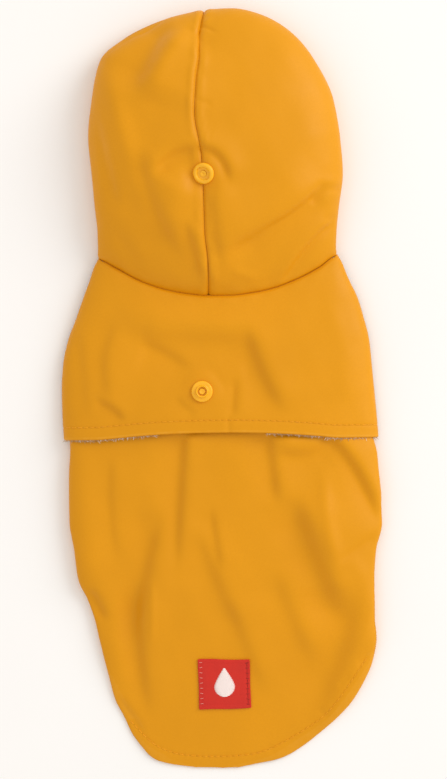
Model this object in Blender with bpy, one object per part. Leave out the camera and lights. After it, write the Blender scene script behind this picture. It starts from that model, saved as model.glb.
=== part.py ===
"""Dog raincoat of coated knit, laid flat on its belly with its back up.

Frame: metres, +Z up, hood towards +Y, tail towards -Y. The tables are in millimetres
in a working frame that is moved at the end, so that the origin is the middle of the
garment's box at floor level.

Every cut piece is a thin wall made from a grid of points on its middle surface. The
sections run across the garment, from the middle of the back over its side and under.
"""

import math

import bpy
import numpy as np
from mathutils import Vector
from mathutils.bvhtree import BVHTree

# ---------------------------------------------------------------- named sizes, mm
CLOTH = 1.2            # thickness of the coated knit, as a wall
SEAM = 0.35            # gap between two pieces that are sewn together
HOOD_EXPONENT = 2.25   # roundness of the hood's sections
BODY_EXPONENT = 2.7    # roundness of the coat's sections
HOOD_ROLL = 6.5        # how far the hood's side rolls in under its widest point
BODY_ROLL = 4.0        # the same for the coat's side
HOOD_SIDE_ROWS, HOOD_CROWN_ROWS = 11, 8   # cells from the nape to the corner, and over the crown
HOOD_CORNER = 0.74     # where the crown's closer rows begin
HOOD_TOP_CELLS, HOOD_UNDER_CELLS = 10, 6
BODY_TOP_CELLS, BODY_SIDE_CELLS = 16, 5
FLAP_CELLS, FLAP_ROWS = 24, 8
BELLY_CELLS = 6
SNAP_R = 5.6           # a size 20 press snap is about 11 mm across
SNAP_SIDES = 20
SNAP_BORE_R = 1.75
PRONG_R = 1.4
LABEL_GAP = 0.35
LABEL_THICK = 0.8
LEG_HOLE_X, LEG_HOLE_Y = 36.0, 12.0          # half spacing, place along the coat
LEG_HOLE_HALF_X, LEG_HOLE_HALF_Y = 18.5, 24.0
LEG_HOLE_MIDDLE = -2.5
BELLY_END_Y = -121.0

# ---------------------------------------------------------------- tables, mm
# The neck seam, from corner to corner over the nape, and its return under the throat.
NECK_COLUMNS = ("x", "top_y", "under_y")
NECK = [
    (-72.0, 68.6, 68.6),
    (-65.6, 68.2, 68.2),
    (-55.7, 63.6, 66.6),
    (-44.0, 57.2, 64.9),
    (-32.0, 52.8, 63.2),
    (-20.1, 50.3, 61.7),
    (-7.2, 49.1, 60.7),
    (3.5, 49.1, 60.9),
    (15.4, 50.6, 62.4),
    (27.0, 53.2, 64.4),
    (39.0, 57.7, 66.6),
    (50.9, 63.8, 68.8),
    (60.9, 70.2, 70.2),
    (70.0, 70.8, 70.8),
]

# The hood: a row for each section. It leaves the centre seam, passes the hood's
# outline at its widest and ends at the face edge, on the floor.
HOOD_COLUMNS = ("a", "seam_x", "seam_y", "seam_z", "side_x", "side_y", "side_z", "face_x", "face_y")
HOOD_LEFT = [
    (0.00, -7.2, 49.1, 13.0, -65.5, 68.2, 3.6, -3.0, 60.6),
    (0.06, -7.0, 55.0, 18.5, -65.4, 73.7, 6.0, -8.0, 63.0),
    (0.14, -7.3, 66.0, 24.0, -65.6, 83.0, 8.0, -17.0, 69.0),
    (0.25, -9.0, 82.0, 28.5, -66.9, 95.5, 9.0, -27.0, 80.0),
    (0.38, -9.6, 100.0, 31.0, -68.6, 113.0, 9.5, -34.5, 95.0),
    (0.52, -10.8, 122.0, 32.0, -70.5, 134.0, 9.5, -38.0, 114.0),
    (0.66, -14.4, 144.0, 31.0, -68.6, 153.0, 9.0, -36.0, 132.0),
    (0.78, -13.6, 162.0, 28.0, -64.3, 173.5, 8.5, -30.0, 146.0),
    (0.88, -12.2, 174.0, 24.5, -51.0, 185.6, 8.0, -20.5, 156.5),
    (0.95, -12.2, 180.0, 21.5, -30.0, 195.5, 7.5, -11.0, 162.5),
    (1.00, -12.6, 184.0, 19.0, -9.5, 200.6, 7.0, -3.0, 165.5),
]
HOOD_RIGHT = [
    (0.00, -7.2, 49.1, 13.0, 60.8, 70.2, 3.6, -3.0, 60.6),
    (0.06, -7.0, 55.0, 18.5, 60.0, 75.0, 6.0, 2.5, 63.0),
    (0.14, -7.3, 66.0, 24.0, 60.3, 84.0, 8.0, 11.0, 69.0),
    (0.25, -9.0, 82.0, 28.5, 61.6, 97.0, 9.0, 21.0, 80.0),
    (0.38, -9.6, 100.0, 31.0, 63.6, 114.0, 9.5, 28.0, 95.0),
    (0.52, -10.8, 122.0, 32.0, 62.2, 132.0, 9.5, 31.5, 114.0),
    (0.66, -14.4, 144.0, 31.0, 58.5, 153.5, 9.0, 29.5, 132.0),
    (0.78, -13.6, 162.0, 28.0, 48.8, 173.5, 8.5, 23.5, 146.0),
    (0.88, -12.2, 174.0, 24.5, 36.6, 188.4, 8.0, 14.0, 156.5),
    (0.94, -12.2, 179.2, 22.0, 20.5, 198.0, 7.5, 6.0, 161.8),
    (0.97, -12.3, 181.7, 20.6, 6.0, 201.2, 7.2, 1.5, 163.8),
    (1.00, -12.6, 184.0, 19.0, -9.5, 200.6, 7.0, -3.0, 165.5),
]

# The coat's back: its outline, the height along its middle, the height of its widest
# point, and how far it wraps under on the left and on the right.
BACK_COLUMNS = ("y", "left_x", "right_x", "top_z", "left_z", "right_z", "left_wrap", "right_wrap")
BACK = [
    (68.5, -64.2, 59.6, 11.4, 3.6, 3.6, 13.0, 13.0),
    (57.8, -66.6, 63.9, 11.5, 3.8, 3.8, 14.0, 14.0),
    (47.2, -70.5, 68.8, 11.7, 4.0, 4.0, 15.0, 15.0),
    (36.6, -74.2, 72.1, 11.9, 4.0, 4.0, 15.0, 15.0),
    (26.0, -78.2, 74.8, 12.0, 4.0, 4.0, 15.0, 15.0),
    (10.0, -81.2, 76.6, 12.2, 4.0, 4.0, 15.0, 15.0),
    (-6.0, -81.4, 77.9, 12.3, 4.0, 4.0, 15.0, 15.0),
    (-16.4, -81.0, 79.0, 12.3, 4.0, 4.0, 15.0, 15.0),
    (-26.0, -80.4, 80.1, 12.2, 4.0, 4.0, 15.0, 15.0),
    (-34.0, -80.1, 82.0, 12.0, 4.0, 4.0, 15.0, 15.0),
    (-45.0, -80.5, 82.6, 11.8, 4.0, 4.0, 15.0, 15.0),
    (-60.0, -80.6, 83.8, 11.5, 4.0, 4.0, 15.0, 15.0),
    (-71.0, -80.4, 84.6, 11.2, 4.0, 4.0, 15.0, 15.0),
    (-85.0, -77.9, 81.4, 10.7, 3.8, 3.9, 15.0, 15.0),
    (-101.0, -75.8, 80.0, 9.9, 3.6, 3.6, 14.0, 14.0),
    (-112.0, -70.8, 79.5, 9.0, 3.3, 3.2, 13.0, 12.5),
    (-122.0, -67.3, 79.7, 8.0, 3.0, 2.7, 12.0, 9.5),
    (-133.0, -64.7, 81.0, 7.0, 2.5, 1.8, 10.0, 4.0),
    (-144.0, -62.0, 79.3, 6.0, 2.0, 0.6, 7.5, 0.0),
    (-154.0, -59.4, 75.2, 5.2, 1.6, 0.6, 5.0, 0.0),
    (-165.0, -56.4, 68.8, 4.3, 1.1, 0.6, 2.5, 0.0),
    (-175.0, -51.2, 60.0, 3.5, 0.6, 0.6, 0.0, 0.0),
    (-183.0, -47.4, 52.0, 2.8, 0.6, 0.6, 0.0, 0.0),
    (-190.0, -42.2, 44.2, 2.2, 0.6, 0.6, 0.0, 0.0),
    (-195.5, -37.0, 32.0, 1.6, 0.6, 0.6, 0.0, 0.0),
    (-199.2, -28.0, 18.0, 1.0, 0.6, 0.6, 0.0, 0.0),
    (-201.1, -14.0, 9.0, 0.6, 0.6, 0.6, 0.0, 0.0),
]
BACK_ROWS_Y = (
    68.5, 60.0, 50.0, 39.0, 27.0, 14.0, 1.0, -12.0, -24.0, -36.0, -49.0, -62.0, -75.0,
    -88.0, -101.0, -112.0, -121.0, -131.0, -141.0, -152.0, -163.0, -173.0, -182.0,
    -189.5, -195.0, -199.0, -201.1,
)

# The cape flap: its side edges from the neck corner to the hem, the height of its
# middle above the coat's middle surface, and how much of the neck's curve is left.
FLAP_COLUMNS = ("v", "left_x", "left_y", "right_x", "right_y", "above", "neck_share")
FLAP = [
    (0.00, -66.6, 68.4, 62.2, 70.5, 1.60, 1.00),
    (0.10, -69.6, 58.5, 66.6, 59.0, 2.60, 0.90),
    (0.22, -73.4, 48.0, 71.8, 48.0, 3.60, 0.74),
    (0.34, -77.3, 37.0, 75.2, 37.0, 3.90, 0.57),
    (0.46, -81.4, 26.0, 77.9, 26.0, 4.00, 0.38),
    (0.58, -84.0, 14.0, 79.1, 14.5, 4.00, 0.20),
    (0.72, -84.8, 1.0, 80.4, 1.5, 4.00, 0.03),
    (0.86, -84.5, -12.5, 81.7, -11.5, 3.90, -0.08),
    (1.00, -83.6, -26.3, 82.8, -24.6, 3.80, -0.16),
]
FLAP_SIDE_Z = 2.0

# Largest soft folds, as troughs (negative) and ridges, each along one line.
FOLD_COLUMNS = ("x0", "y0", "x1", "y1", "half_width", "height")
HOOD_FOLDS = [
    (-58.0, 158.0, -38.0, 92.0, 7.0, 1.3),
    (-27.0, 88.0, -12.0, 64.0, 6.0, -1.3),
    (-41.0, 97.0, -27.0, 60.0, 5.5, -1.1),
    (50.0, 106.0, 8.0, 75.0, 7.0, -1.2),
    (-18.0, 194.0, -32.0, 165.0, 6.0, 1.0),
]
BODY_FOLDS = [
    (-19.0, -34.0, -24.0, -90.0, 6.0, -1.0),
    (38.0, -80.0, 66.0, -102.0, 8.0, -1.2),
    (-12.0, -92.0, 14.0, -136.0, 7.0, -0.8),
    (-34.0, -80.0, -40.0, -150.0, 7.0, -0.8),
    (58.0, -28.0, 82.0, -62.0, 8.0, 0.9),
]
FLAP_FOLDS = [
    (14.0, 12.0, 34.0, -10.0, 6.0, -0.7),
    (4.0, -2.0, 4.0, -24.0, 5.0, -0.5),
]

# Press snaps: where each sits, which way its axis leans, in millimetres and degrees.
SNAP_COLUMNS = ("x", "y", "lean", "towards")
HOOD_SNAP = (-9.4, 112.6, 20.0, 225.0)
FLAP_SNAP = (-10.5, -1.4, 0.0, 0.0)
SNAP_FLAT_R, SNAP_FADE_R = 10.5, 19.0

LABEL_COLUMNS = ("corner", "x", "y")
LABEL = [
    ("bottom_left", -11.8, -170.0),
    ("bottom_right", 15.2, -169.2),
    ("top_right", 14.4, -144.0),
    ("top_left", -12.6, -143.7),
]
LABEL_CELLS = 4

# Turned profiles of the snaps, along their own axis from the middle of the cloth.
PROFILE_COLUMNS = ("radius", "height")
STUD = [
    (SNAP_BORE_R, 0.95), (SNAP_R, 0.95), (SNAP_R, 1.55), (SNAP_R - 0.45, 1.95),
    (3.7, 1.95), (3.3, 2.35), (3.25, 3.45), (2.85, 3.7), (2.4, 3.45), (2.3, 2.0),
    (SNAP_BORE_R, 2.0),
]
SOCKET = [
    (SNAP_BORE_R, 0.95), (SNAP_R, 0.95), (SNAP_R, 1.7), (SNAP_R - 0.5, 2.3),
    (4.3, 2.55), (3.5, 2.3), (3.2, 1.55), (SNAP_BORE_R, 1.55),
]
STUD_CAP = [
    (0.0, -2.25), (3.5, -2.2), (5.2, -1.8), (5.7, -1.35), (5.7, -0.95), (PRONG_R, -0.95),
    (PRONG_R, 2.25), (1.6, 2.4), (1.6, 2.8), (0.0, 3.0),
]
SOCKET_CAP = [
    (0.0, -2.25), (3.5, -2.2), (5.2, -1.8), (5.7, -1.35), (5.7, -0.95), (PRONG_R, -0.95),
    (PRONG_R, 1.75), (1.6, 1.85), (1.6, 2.1), (0.0, 2.25),
]

# ---------------------------------------------------------------- colours (sRGB)
YELLOW = (225, 150, 30)
SNAP_YELLOW = (244, 172, 40)
RED = (216, 58, 45)


# ---------------------------------------------------------------- tools
def column(table, columns, name):
    return np.array([row[columns.index(name)] for row in table], float)


def smooth_table(xs, ys, at):
    """A curve through a table's points that never overshoots them."""
    xs, ys, at = np.asarray(xs, float), np.asarray(ys, float), np.asarray(at, float)
    if xs[0] > xs[-1]:
        xs, ys = xs[::-1], ys[::-1]
    step = np.diff(xs)
    slope = np.diff(ys) / step
    tangent = np.zeros(len(xs))
    tangent[0], tangent[-1] = slope[0], slope[-1]
    for i in range(1, len(xs) - 1):
        if slope[i - 1] * slope[i] > 0:
            w0, w1 = 2 * step[i] + step[i - 1], step[i] + 2 * step[i - 1]
            tangent[i] = (w0 + w1) / (w0 / slope[i - 1] + w1 / slope[i])
    at = np.clip(at, xs[0], xs[-1])
    i = np.clip(np.searchsorted(xs, at, side="right") - 1, 0, len(xs) - 2)
    t = (at - xs[i]) / step[i]
    return (
        (1 + 2 * t) * (1 - t) ** 2 * ys[i]
        + t * (1 - t) ** 2 * step[i] * tangent[i]
        + t * t * (3 - 2 * t) * ys[i + 1]
        + t * t * (t - 1) * step[i] * tangent[i + 1]
    )


def read(table, columns, name, at):
    return smooth_table(column(table, columns, columns[0]), column(table, columns, name), at)


def neck_top(x):
    return read(NECK, NECK_COLUMNS, "top_y", x)


def neck_under(x):
    return read(NECK, NECK_COLUMNS, "under_y", x)


def smoothstep(low, high, x):
    t = np.clip((np.asarray(x, float) - low) / (high - low), 0, 1)
    return t * t * (3 - 2 * t)


def fold_height(table, x, y):
    """Height of the folds at plan points, fading at both ends of each."""
    total = np.zeros_like(x)
    for x0, y0, x1, y1, half, height in table:
        dx, dy = x1 - x0, y1 - y0
        long = math.hypot(dx, dy)
        t = ((x - x0) * dx + (y - y0) * dy) / long**2
        off = ((x - x0) * dy - (y - y0) * dx) / long
        past = np.maximum(np.abs(t - 0.5) - 0.5, 0) * long
        total += height * np.exp(-((off / half) ** 2) - (past / (1.4 * half)) ** 2)
    return total


def along_line(points, shares):
    """Points at the given shares of a fine line's length."""
    gaps = np.linalg.norm(np.diff(points, axis=0), axis=1)
    run = np.concatenate([[0.0], np.cumsum(gaps)])
    return np.stack([np.interp(np.asarray(shares) * run[-1], run, points[:, k]) for k in range(points.shape[1])], axis=1)


def line_length(points):
    return float(np.linalg.norm(np.diff(points, axis=0), axis=1).sum())


def half_section(middle, side, middle_z, side_z, exponent, fine=64):
    """From the middle over to the widest point: plan x, y, z and the share of height."""
    angle = np.linspace(0, math.pi / 2, fine)
    out = np.sin(angle) ** (2 / exponent)
    up = np.cos(angle) ** (2 / exponent)
    up[-1] = 0.0
    plan = middle[None, :] + out[:, None] * (side - middle)[None, :]
    return np.column_stack([plan, side_z + (middle_z - side_z) * up, up])


def roll_under(side, side_z, edge, roll, fine=16, flat=24):
    """From the widest point in under the garment and on to a free edge on the floor."""
    way = edge - side
    far = float(np.linalg.norm(way))
    way = way / max(far, 1e-9)
    roll = min(roll, 0.7 * far)
    angle = np.linspace(0, math.pi / 2, fine)[1:]
    inward = roll * (1 - np.cos(angle))
    z = side_z - (side_z - CLOTH / 2) * np.sin(angle)
    curve = np.column_stack([side[None, :] + inward[:, None] * way[None, :], z])
    rest = np.linspace(roll, far, flat)[1:]
    under = np.column_stack([side[None, :] + rest[:, None] * way[None, :], np.full(len(rest), CLOTH / 2)])
    return curve, under


# ---------------------------------------------------------------- the coat's surfaces
def flatten_round(points, snap, base_z):
    """Makes the cloth flat, and square to the snap's axis, just around a snap."""
    x, y, lean, towards = snap
    lean_x = math.tan(math.radians(lean)) * math.cos(math.radians(towards))
    lean_y = math.tan(math.radians(lean)) * math.sin(math.radians(towards))
    away = np.hypot(points[..., 0] - x, points[..., 1] - y)
    plane = base_z - lean_x * (points[..., 0] - x) - lean_y * (points[..., 1] - y)
    w = 1 - smoothstep(SNAP_FLAT_R, SNAP_FADE_R, away)
    up = points[..., 2] > CLOTH
    points[..., 2] = np.where(up, points[..., 2] * (1 - w) + plane * w, points[..., 2])


def hood_panel(table, side_sign, steps, top_cells, under_cells):
    """Middle surface of one hood half: rows from nape to crown, columns from the
    centre seam over the side to the face edge."""
    rows = len(steps) - 1
    grid = np.zeros((rows + 1, top_cells + under_cells + 1, 3))
    share = np.zeros(grid.shape[:2])
    for i, a in enumerate(steps):
        g = {name: float(read(table, HOOD_COLUMNS, name, a)) for name in HOOD_COLUMNS}
        middle = np.array([g["seam_x"] + side_sign * SEAM / 2, g["seam_y"]])
        side = np.array([g["side_x"] + side_sign * (SEAM / 2 if a > 0.999 else 0), g["side_y"]])
        edge = np.array([g["face_x"] + side_sign * SEAM, g["face_y"]])
        top = half_section(middle, side, g["seam_z"], g["side_z"], HOOD_EXPONENT)
        curve, under = roll_under(side, g["side_z"], edge, HOOD_ROLL)
        hug = math.exp(-((a / 0.09) ** 2)) if a > 0 else 1.0
        straight = middle[1] + (top[:, 0] - middle[0]) / (side[0] - middle[0]) * (side[1] - middle[1])
        if abs(side[0] - middle[0]) > 20:
            ends = np.interp(top[:, 0], *zip(*sorted([(middle[0], float(neck_top(middle[0]))), (side[0], float(neck_top(side[0])))])))
            top[:, 1] = straight + hug * (neck_top(top[:, 0]) - ends)
        if a == 0:
            for part in (curve, under):
                part[:, 1] = neck_under(part[:, 0])
        under_line = np.vstack([top[-1:, :3], curve, under])
        shares = np.linspace(0, 1, top_cells + 1)
        n = top_cells
        top_points = along_line(top, shares)
        grid[i, : n + 1], share[i, : n + 1] = top_points[:, :3], top_points[:, 3]
        roll_line = np.vstack([top[-1:, :3], curve])
        half = under_cells // 2
        grid[i, n : n + half + 1] = along_line(roll_line, np.linspace(0, 1, half + 1))
        grid[i, n + half :] = along_line(np.vstack([curve[-1:], under]), np.linspace(0, 1, under_cells - half + 1))
    lift = fold_height(HOOD_FOLDS, grid[..., 0], grid[..., 1])
    fade = smoothstep(0.0, 0.45, share) * smoothstep(0.0, 0.18, np.asarray(steps))[:, None]
    seam_away = smoothstep(0.0, 8.0, np.abs(grid[..., 0] - grid[:, :1, 0]))
    grid[..., 2] += lift * fade * seam_away
    return grid


def back_row(y, columns):
    return {name: float(read(BACK, BACK_COLUMNS, name, y)) for name in columns}


def back_section(y):
    """Fine line across the back at one row: left wrap edge, left side, top, right side,
    right wrap edge. Its fourth value is the share of height."""
    g = back_row(y, BACK_COLUMNS)
    middle = np.array([(g["left_x"] + g["right_x"]) / 2, y])
    halves = []
    for end, side_z, wrap in (("left_x", "left_z", "left_wrap"), ("right_x", "right_z", "right_wrap")):
        side = np.array([g[end], y])
        inward = math.copysign(1.0, middle[0] - side[0])
        top = half_section(middle, side, g["top_z"], g[side_z], BODY_EXPONENT)
        if g[wrap] > 0.05:
            edge = np.array([g[end] + inward * g[wrap], y])
            curve, under = roll_under(side, g[side_z], edge, min(BODY_ROLL, 0.5 * g[wrap]))
            tail = np.vstack([curve, under])
            tail = np.column_stack([tail, np.zeros(len(tail))])
        else:
            tail = np.zeros((0, 4))
        halves.append((top, tail))
    (lt, lw), (rt, rw) = halves
    return lw[::-1], lt[::-1], rt[1:], rw


def neck_drop(x, under):
    """How far the neck seam lies below the line through its two corners."""
    curve = neck_under(x) if under else neck_top(x)
    return curve - (68.2 + (70.2 - 68.2) * np.clip((x + 65.6) / 126.5, 0, 1))


def row_y(y, x, under):
    """The y of a row's points: the first row lies along the neck seam."""
    corner = 68.2 + (70.2 - 68.2) * np.clip((x + 65.6) / 126.5, 0, 1) - 68.5
    s = float(smoothstep(-35.0, 68.5, y))
    linear = float(np.clip((y + 35.0) / 103.5, 0, 1))
    s = 0.5 * s + 0.5 * linear
    return y + s * (neck_drop(x, under) + corner) - SEAM


def back_surface(rows_y, top_cells, side_cells):
    cols = top_cells + 2 * side_cells
    grid = np.zeros((len(rows_y), cols + 1, 3))
    share = np.zeros(grid.shape[:2])
    for i, y in enumerate(rows_y):
        lw, lt, rt, rw = back_section(y)
        for part, under in ((lw, True), (lt, False), (rt, False), (rw, True)):
            if len(part):
                part[:, 1] = row_y(y, part[:, 0], under)
        line = np.vstack([lw, lt, rt, rw])
        total = line_length(line[:, :3])
        left = max(line_length(np.vstack([lw, lt[:1]])[:, :3]) if len(lw) else 0, 0.09 * total) / total
        right = max(line_length(np.vstack([rt[-1:], rw])[:, :3]) if len(rw) else 0, 0.09 * total) / total
        shares = np.concatenate([
            np.linspace(0, left, side_cells + 1)[:-1],
            np.linspace(left, 1 - right, top_cells + 1),
            np.linspace(1 - right, 1, side_cells + 1)[1:],
        ])
        points = along_line(line, shares)
        grid[i], share[i] = points[:, :3], points[:, 3]
    low = grid[..., 2] < CLOTH / 2 + 1e-3
    grid[..., 2] = np.where(low, CLOTH / 2, grid[..., 2])
    lift = fold_height(BODY_FOLDS, grid[..., 0], grid[..., 1])
    tall = np.clip((grid[..., 2] - 1.0) / 6.0, 0, 1)
    under_flap = 1 - smoothstep(-40.0, -22.0, grid[..., 1])
    grid[..., 2] += lift * smoothstep(0.0, 0.5, share) * tall * under_flap
    return grid


def flap_surface(rows, cells):
    grid = np.zeros((rows + 1, cells + 1, 3))
    share = np.zeros(grid.shape[:2])
    for i, v in enumerate(np.linspace(0, 1, rows + 1)):
        g = {name: float(read(FLAP, FLAP_COLUMNS, name, v)) for name in FLAP_COLUMNS}
        left, right = np.array([g["left_x"], g["left_y"]]), np.array([g["right_x"], g["right_y"]])
        middle = (left + right) / 2
        middle_y = middle[1] + g["neck_share"] * float(neck_drop(middle[0], False))
        top_z = float(read(BACK, BACK_COLUMNS, "top_z", middle_y)) + g["above"]
        side_z = 3.6 + (FLAP_SIDE_Z - 3.6) * float(smoothstep(0.0, 0.3, v))
        lt = half_section(middle, left, top_z, side_z, BODY_EXPONENT)[::-1]
        rt = half_section(middle, right, top_z, side_z, BODY_EXPONENT)[1:]
        line = np.vstack([lt, rt])
        line[:, 1] += g["neck_share"] * neck_drop(line[:, 0], False)
        if v == 0:
            line[:, 1] = neck_top(line[:, 0])
        line[:, 1] -= SEAM
        points = along_line(line, np.linspace(0, 1, cells + 1))
        grid[i], share[i] = points[:, :3], points[:, 3]
    lift = fold_height(FLAP_FOLDS, grid[..., 0], grid[..., 1])
    grid[..., 2] += lift * smoothstep(0.0, 0.5, share)
    return grid


# ---------------------------------------------------------------- walls from grids
def grid_normals(grid):
    along = np.gradient(grid, axis=0)
    across = np.gradient(grid, axis=1)
    normal = np.cross(across, along)
    normal /= np.maximum(np.linalg.norm(normal, axis=2, keepdims=True), 1e-12)
    top = np.unravel_index(np.argmax(grid[..., 2]), grid.shape[:2])
    return normal if normal[top][2] > 0 else -normal


def square_to(normal, axis):
    """Takes one axis out of the normals of an edge, so that its rim stands square."""
    normal = normal.copy()
    normal[..., axis] = 0
    return normal / np.maximum(np.linalg.norm(normal, axis=-1, keepdims=True), 1e-12)


def shell(name, grid, normal, thickness, material):
    """One closed body: the outer skin, the inner skin and the rims between them."""
    outer, inner = grid + normal * thickness / 2, grid - normal * thickness / 2
    floor = np.abs(grid[..., 2] - thickness / 2) < 0.02
    outer[..., 2] = np.where(floor & (normal[..., 2] < 0), 0.0, outer[..., 2])
    inner[..., 2] = np.where(floor & (normal[..., 2] < 0), thickness, inner[..., 2])
    outer[..., 2] = np.where(floor & (normal[..., 2] > 0), thickness, outer[..., 2])
    inner[..., 2] = np.where(floor & (normal[..., 2] > 0), 0.0, inner[..., 2])
    outer[..., 2], inner[..., 2] = np.maximum(outer[..., 2], 0), np.maximum(inner[..., 2], 0)
    rows, cols = grid.shape[0], grid.shape[1]
    points = np.concatenate([outer.reshape(-1, 3), inner.reshape(-1, 3)])
    index = np.arange(rows * cols).reshape(rows, cols)
    faces = []

    def quad(a, b, c, d):
        if np.linalg.norm(points[a] - points[c]) <= np.linalg.norm(points[b] - points[d]):
            faces.extend([(a, b, c), (a, c, d)])
        else:
            faces.extend([(a, b, d), (b, c, d)])

    shift = rows * cols
    for i in range(rows - 1):
        for j in range(cols - 1):
            a, b, c, d = index[i, j], index[i, j + 1], index[i + 1, j + 1], index[i + 1, j]
            quad(a, b, c, d)
            quad(a + shift, d + shift, c + shift, b + shift)
    ring = (
        [index[0, j] for j in range(cols)]
        + [index[i, cols - 1] for i in range(1, rows)]
        + [index[rows - 1, j] for j in range(cols - 2, -1, -1)]
        + [index[i, 0] for i in range(rows - 2, 0, -1)]
    )
    for k, a in enumerate(ring):
        b = ring[(k + 1) % len(ring)]
        quad(b, a, a + shift, b + shift)
    made = mesh_object(name, points, faces, material)
    return made


def mesh_object(name, points, faces, material):
    mesh = bpy.data.meshes.new(name)
    mesh.from_pydata([tuple(p) for p in points], [], [tuple(int(i) for i in f) for f in faces])
    mesh.validate()
    if signed_volume(mesh) < 0:
        mesh.flip_normals()
    mesh.update()
    made = bpy.data.objects.new(name, mesh)
    bpy.context.collection.objects.link(made)
    mesh.materials.append(material)
    mesh.shade_smooth()
    mesh.set_sharp_from_angle(angle=math.radians(40))
    return made


def signed_volume(mesh):
    mesh.calc_loop_triangles()
    total = 0.0
    for t in mesh.loop_triangles:
        a, b, c = (mesh.vertices[i].co for i in t.vertices)
        total += a.dot(b.cross(c))
    return total


def plain(name, colour, roughness):
    made = bpy.data.materials.new(name)
    made.use_nodes = True
    shader = made.node_tree.nodes["Principled BSDF"]
    linear = [((c / 255 + 0.055) / 1.055) ** 2.4 if c > 10 else c / 255 / 12.92 for c in colour]
    shader.inputs["Base Color"].default_value = (*linear, 1)
    shader.inputs["Roughness"].default_value = roughness
    shader.inputs["Metallic"].default_value = 0.0
    made.diffuse_color = (*linear, 1)
    return made


def turned(name, profile, centre, axis, material):
    """A turned piece: the profile is spun about the axis through the centre."""
    axis = Vector(axis).normalized()
    side = axis.orthogonal().normalized()
    other = axis.cross(side)
    points, rings = [], []
    for radius, height in profile:
        if radius < 1e-6:
            rings.append([len(points)])
            points.append(Vector(centre) + axis * height)
        else:
            ring = []
            for k in range(SNAP_SIDES):
                turn = 2 * math.pi * k / SNAP_SIDES
                ring.append(len(points))
                points.append(Vector(centre) + axis * height + (side * math.cos(turn) + other * math.sin(turn)) * radius)
            rings.append(ring)
    faces = []
    pairs = list(zip(rings, rings[1:]))
    if len(rings[0]) > 1:
        pairs.append((rings[-1], rings[0]))
    for low, high in pairs:
        for k in range(SNAP_SIDES):
            n = (k + 1) % SNAP_SIDES
            if len(low) == 1 and len(high) == 1:
                continue
            if len(low) == 1:
                faces.append((low[0], high[n], high[k]))
            elif len(high) == 1:
                faces.append((low[k], low[n], high[0]))
            else:
                faces.append((low[k], low[n], high[n], high[k]))
    return mesh_object(name, points, faces, material)


def cut(target, name, make):
    """Takes a hidden cutter's shape out of a piece."""
    cutter = make(name)
    cutter.hide_render = True
    cutter.display_type = "WIRE"
    step = target.modifiers.new(name, "BOOLEAN")
    step.operation = "DIFFERENCE"
    step.object = cutter
    step.solver = "EXACT"
    return cutter


def prism(name, outline, low, high):
    n = len(outline)
    points = [(x, y, low) for x, y in outline] + [(x, y, high) for x, y in outline]
    faces = [tuple(range(n))[::-1], tuple(range(n, 2 * n))]
    faces += [(k, (k + 1) % n, n + (k + 1) % n, n + k) for k in range(n)]
    return mesh_object(name, points, faces, cutter_material)


def bore_cutter(name, centre, axis):
    return turned(name, [(0.0, -6.0), (SNAP_BORE_R, -6.0), (SNAP_BORE_R, 6.0), (0.0, 6.0)], centre, axis, cutter_material)


def snap_axis(snap):
    _, _, lean, towards = snap
    lean, towards = math.radians(lean), math.radians(towards)
    return (math.sin(lean) * math.cos(towards), math.sin(lean) * math.sin(towards), math.cos(lean))


def height_at(grid, x, y):
    """Height of a grid's top side over a plan point."""
    rows, cols = grid.shape[0], grid.shape[1]
    points = [tuple(p) for p in grid.reshape(-1, 3)]
    index = np.arange(rows * cols).reshape(rows, cols)
    faces = []
    for i in range(rows - 1):
        for j in range(cols - 1):
            a, b, c, d = (int(k) for k in (index[i, j], index[i, j + 1], index[i + 1, j + 1], index[i + 1, j]))
            faces += [(a, b, c), (a, c, d)]
    tree = BVHTree.FromPolygons(points, faces)
    hit = tree.ray_cast(Vector((x, y, 200.0)), Vector((0, 0, -1)))
    return hit[0].z if hit[0] else None


# ---------------------------------------------------------------- build
for old in list(bpy.data.objects):
    bpy.data.objects.remove(old, do_unlink=True)

cutter_material = plain("cutter", (128, 128, 128), 0.5)

# Hood halves.
hood_steps = np.concatenate([
    HOOD_CORNER * np.linspace(0, 1, HOOD_SIDE_ROWS + 1) ** 1.15,
    np.linspace(HOOD_CORNER, 1, HOOD_CROWN_ROWS + 1)[1:],
])
left = hood_panel(HOOD_LEFT, -1, hood_steps, HOOD_TOP_CELLS, HOOD_UNDER_CELLS)
right = hood_panel(HOOD_RIGHT, 1, hood_steps, HOOD_TOP_CELLS, HOOD_UNDER_CELLS)
hood_snap_z = float(np.mean([height_at(left, HOOD_SNAP[0] - 1.0, HOOD_SNAP[1]), height_at(right, HOOD_SNAP[0] + 1.0, HOOD_SNAP[1])]))
hood_parts = []
for name, grid in (("hood_left", left), ("hood_right", right)):
    flatten_round(grid, HOOD_SNAP, hood_snap_z)
    normal = grid_normals(grid)
    normal[0] = square_to(normal[0], 1)
    normal[:, 0] = square_to(normal[:, 0], 0)
    normal[-1] = square_to(normal[-1], 0)
    hood_parts.append(shell(name, grid, normal, CLOTH, plain(name, YELLOW, 0.42)))

# Coat back, with its sides wrapped under.
back = back_surface(BACK_ROWS_Y, BODY_TOP_CELLS, BODY_SIDE_CELLS)
back_normal = grid_normals(back)
back_normal[0] = square_to(back_normal[0], 1)
shell("back_panel", back, back_normal, CLOTH, plain("back_panel", YELLOW, 0.42))

# Cape flap over it.
flap = flap_surface(FLAP_ROWS, FLAP_CELLS)
flap_snap_z = height_at(flap, FLAP_SNAP[0], FLAP_SNAP[1])
flatten_round(flap, FLAP_SNAP, flap_snap_z)
flap_normal = grid_normals(flap)
flap_normal[0] = square_to(flap_normal[0], 1)
flap_object = shell("cape_flap", flap, flap_normal, CLOTH, plain("cape_flap", YELLOW, 0.42))

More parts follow.
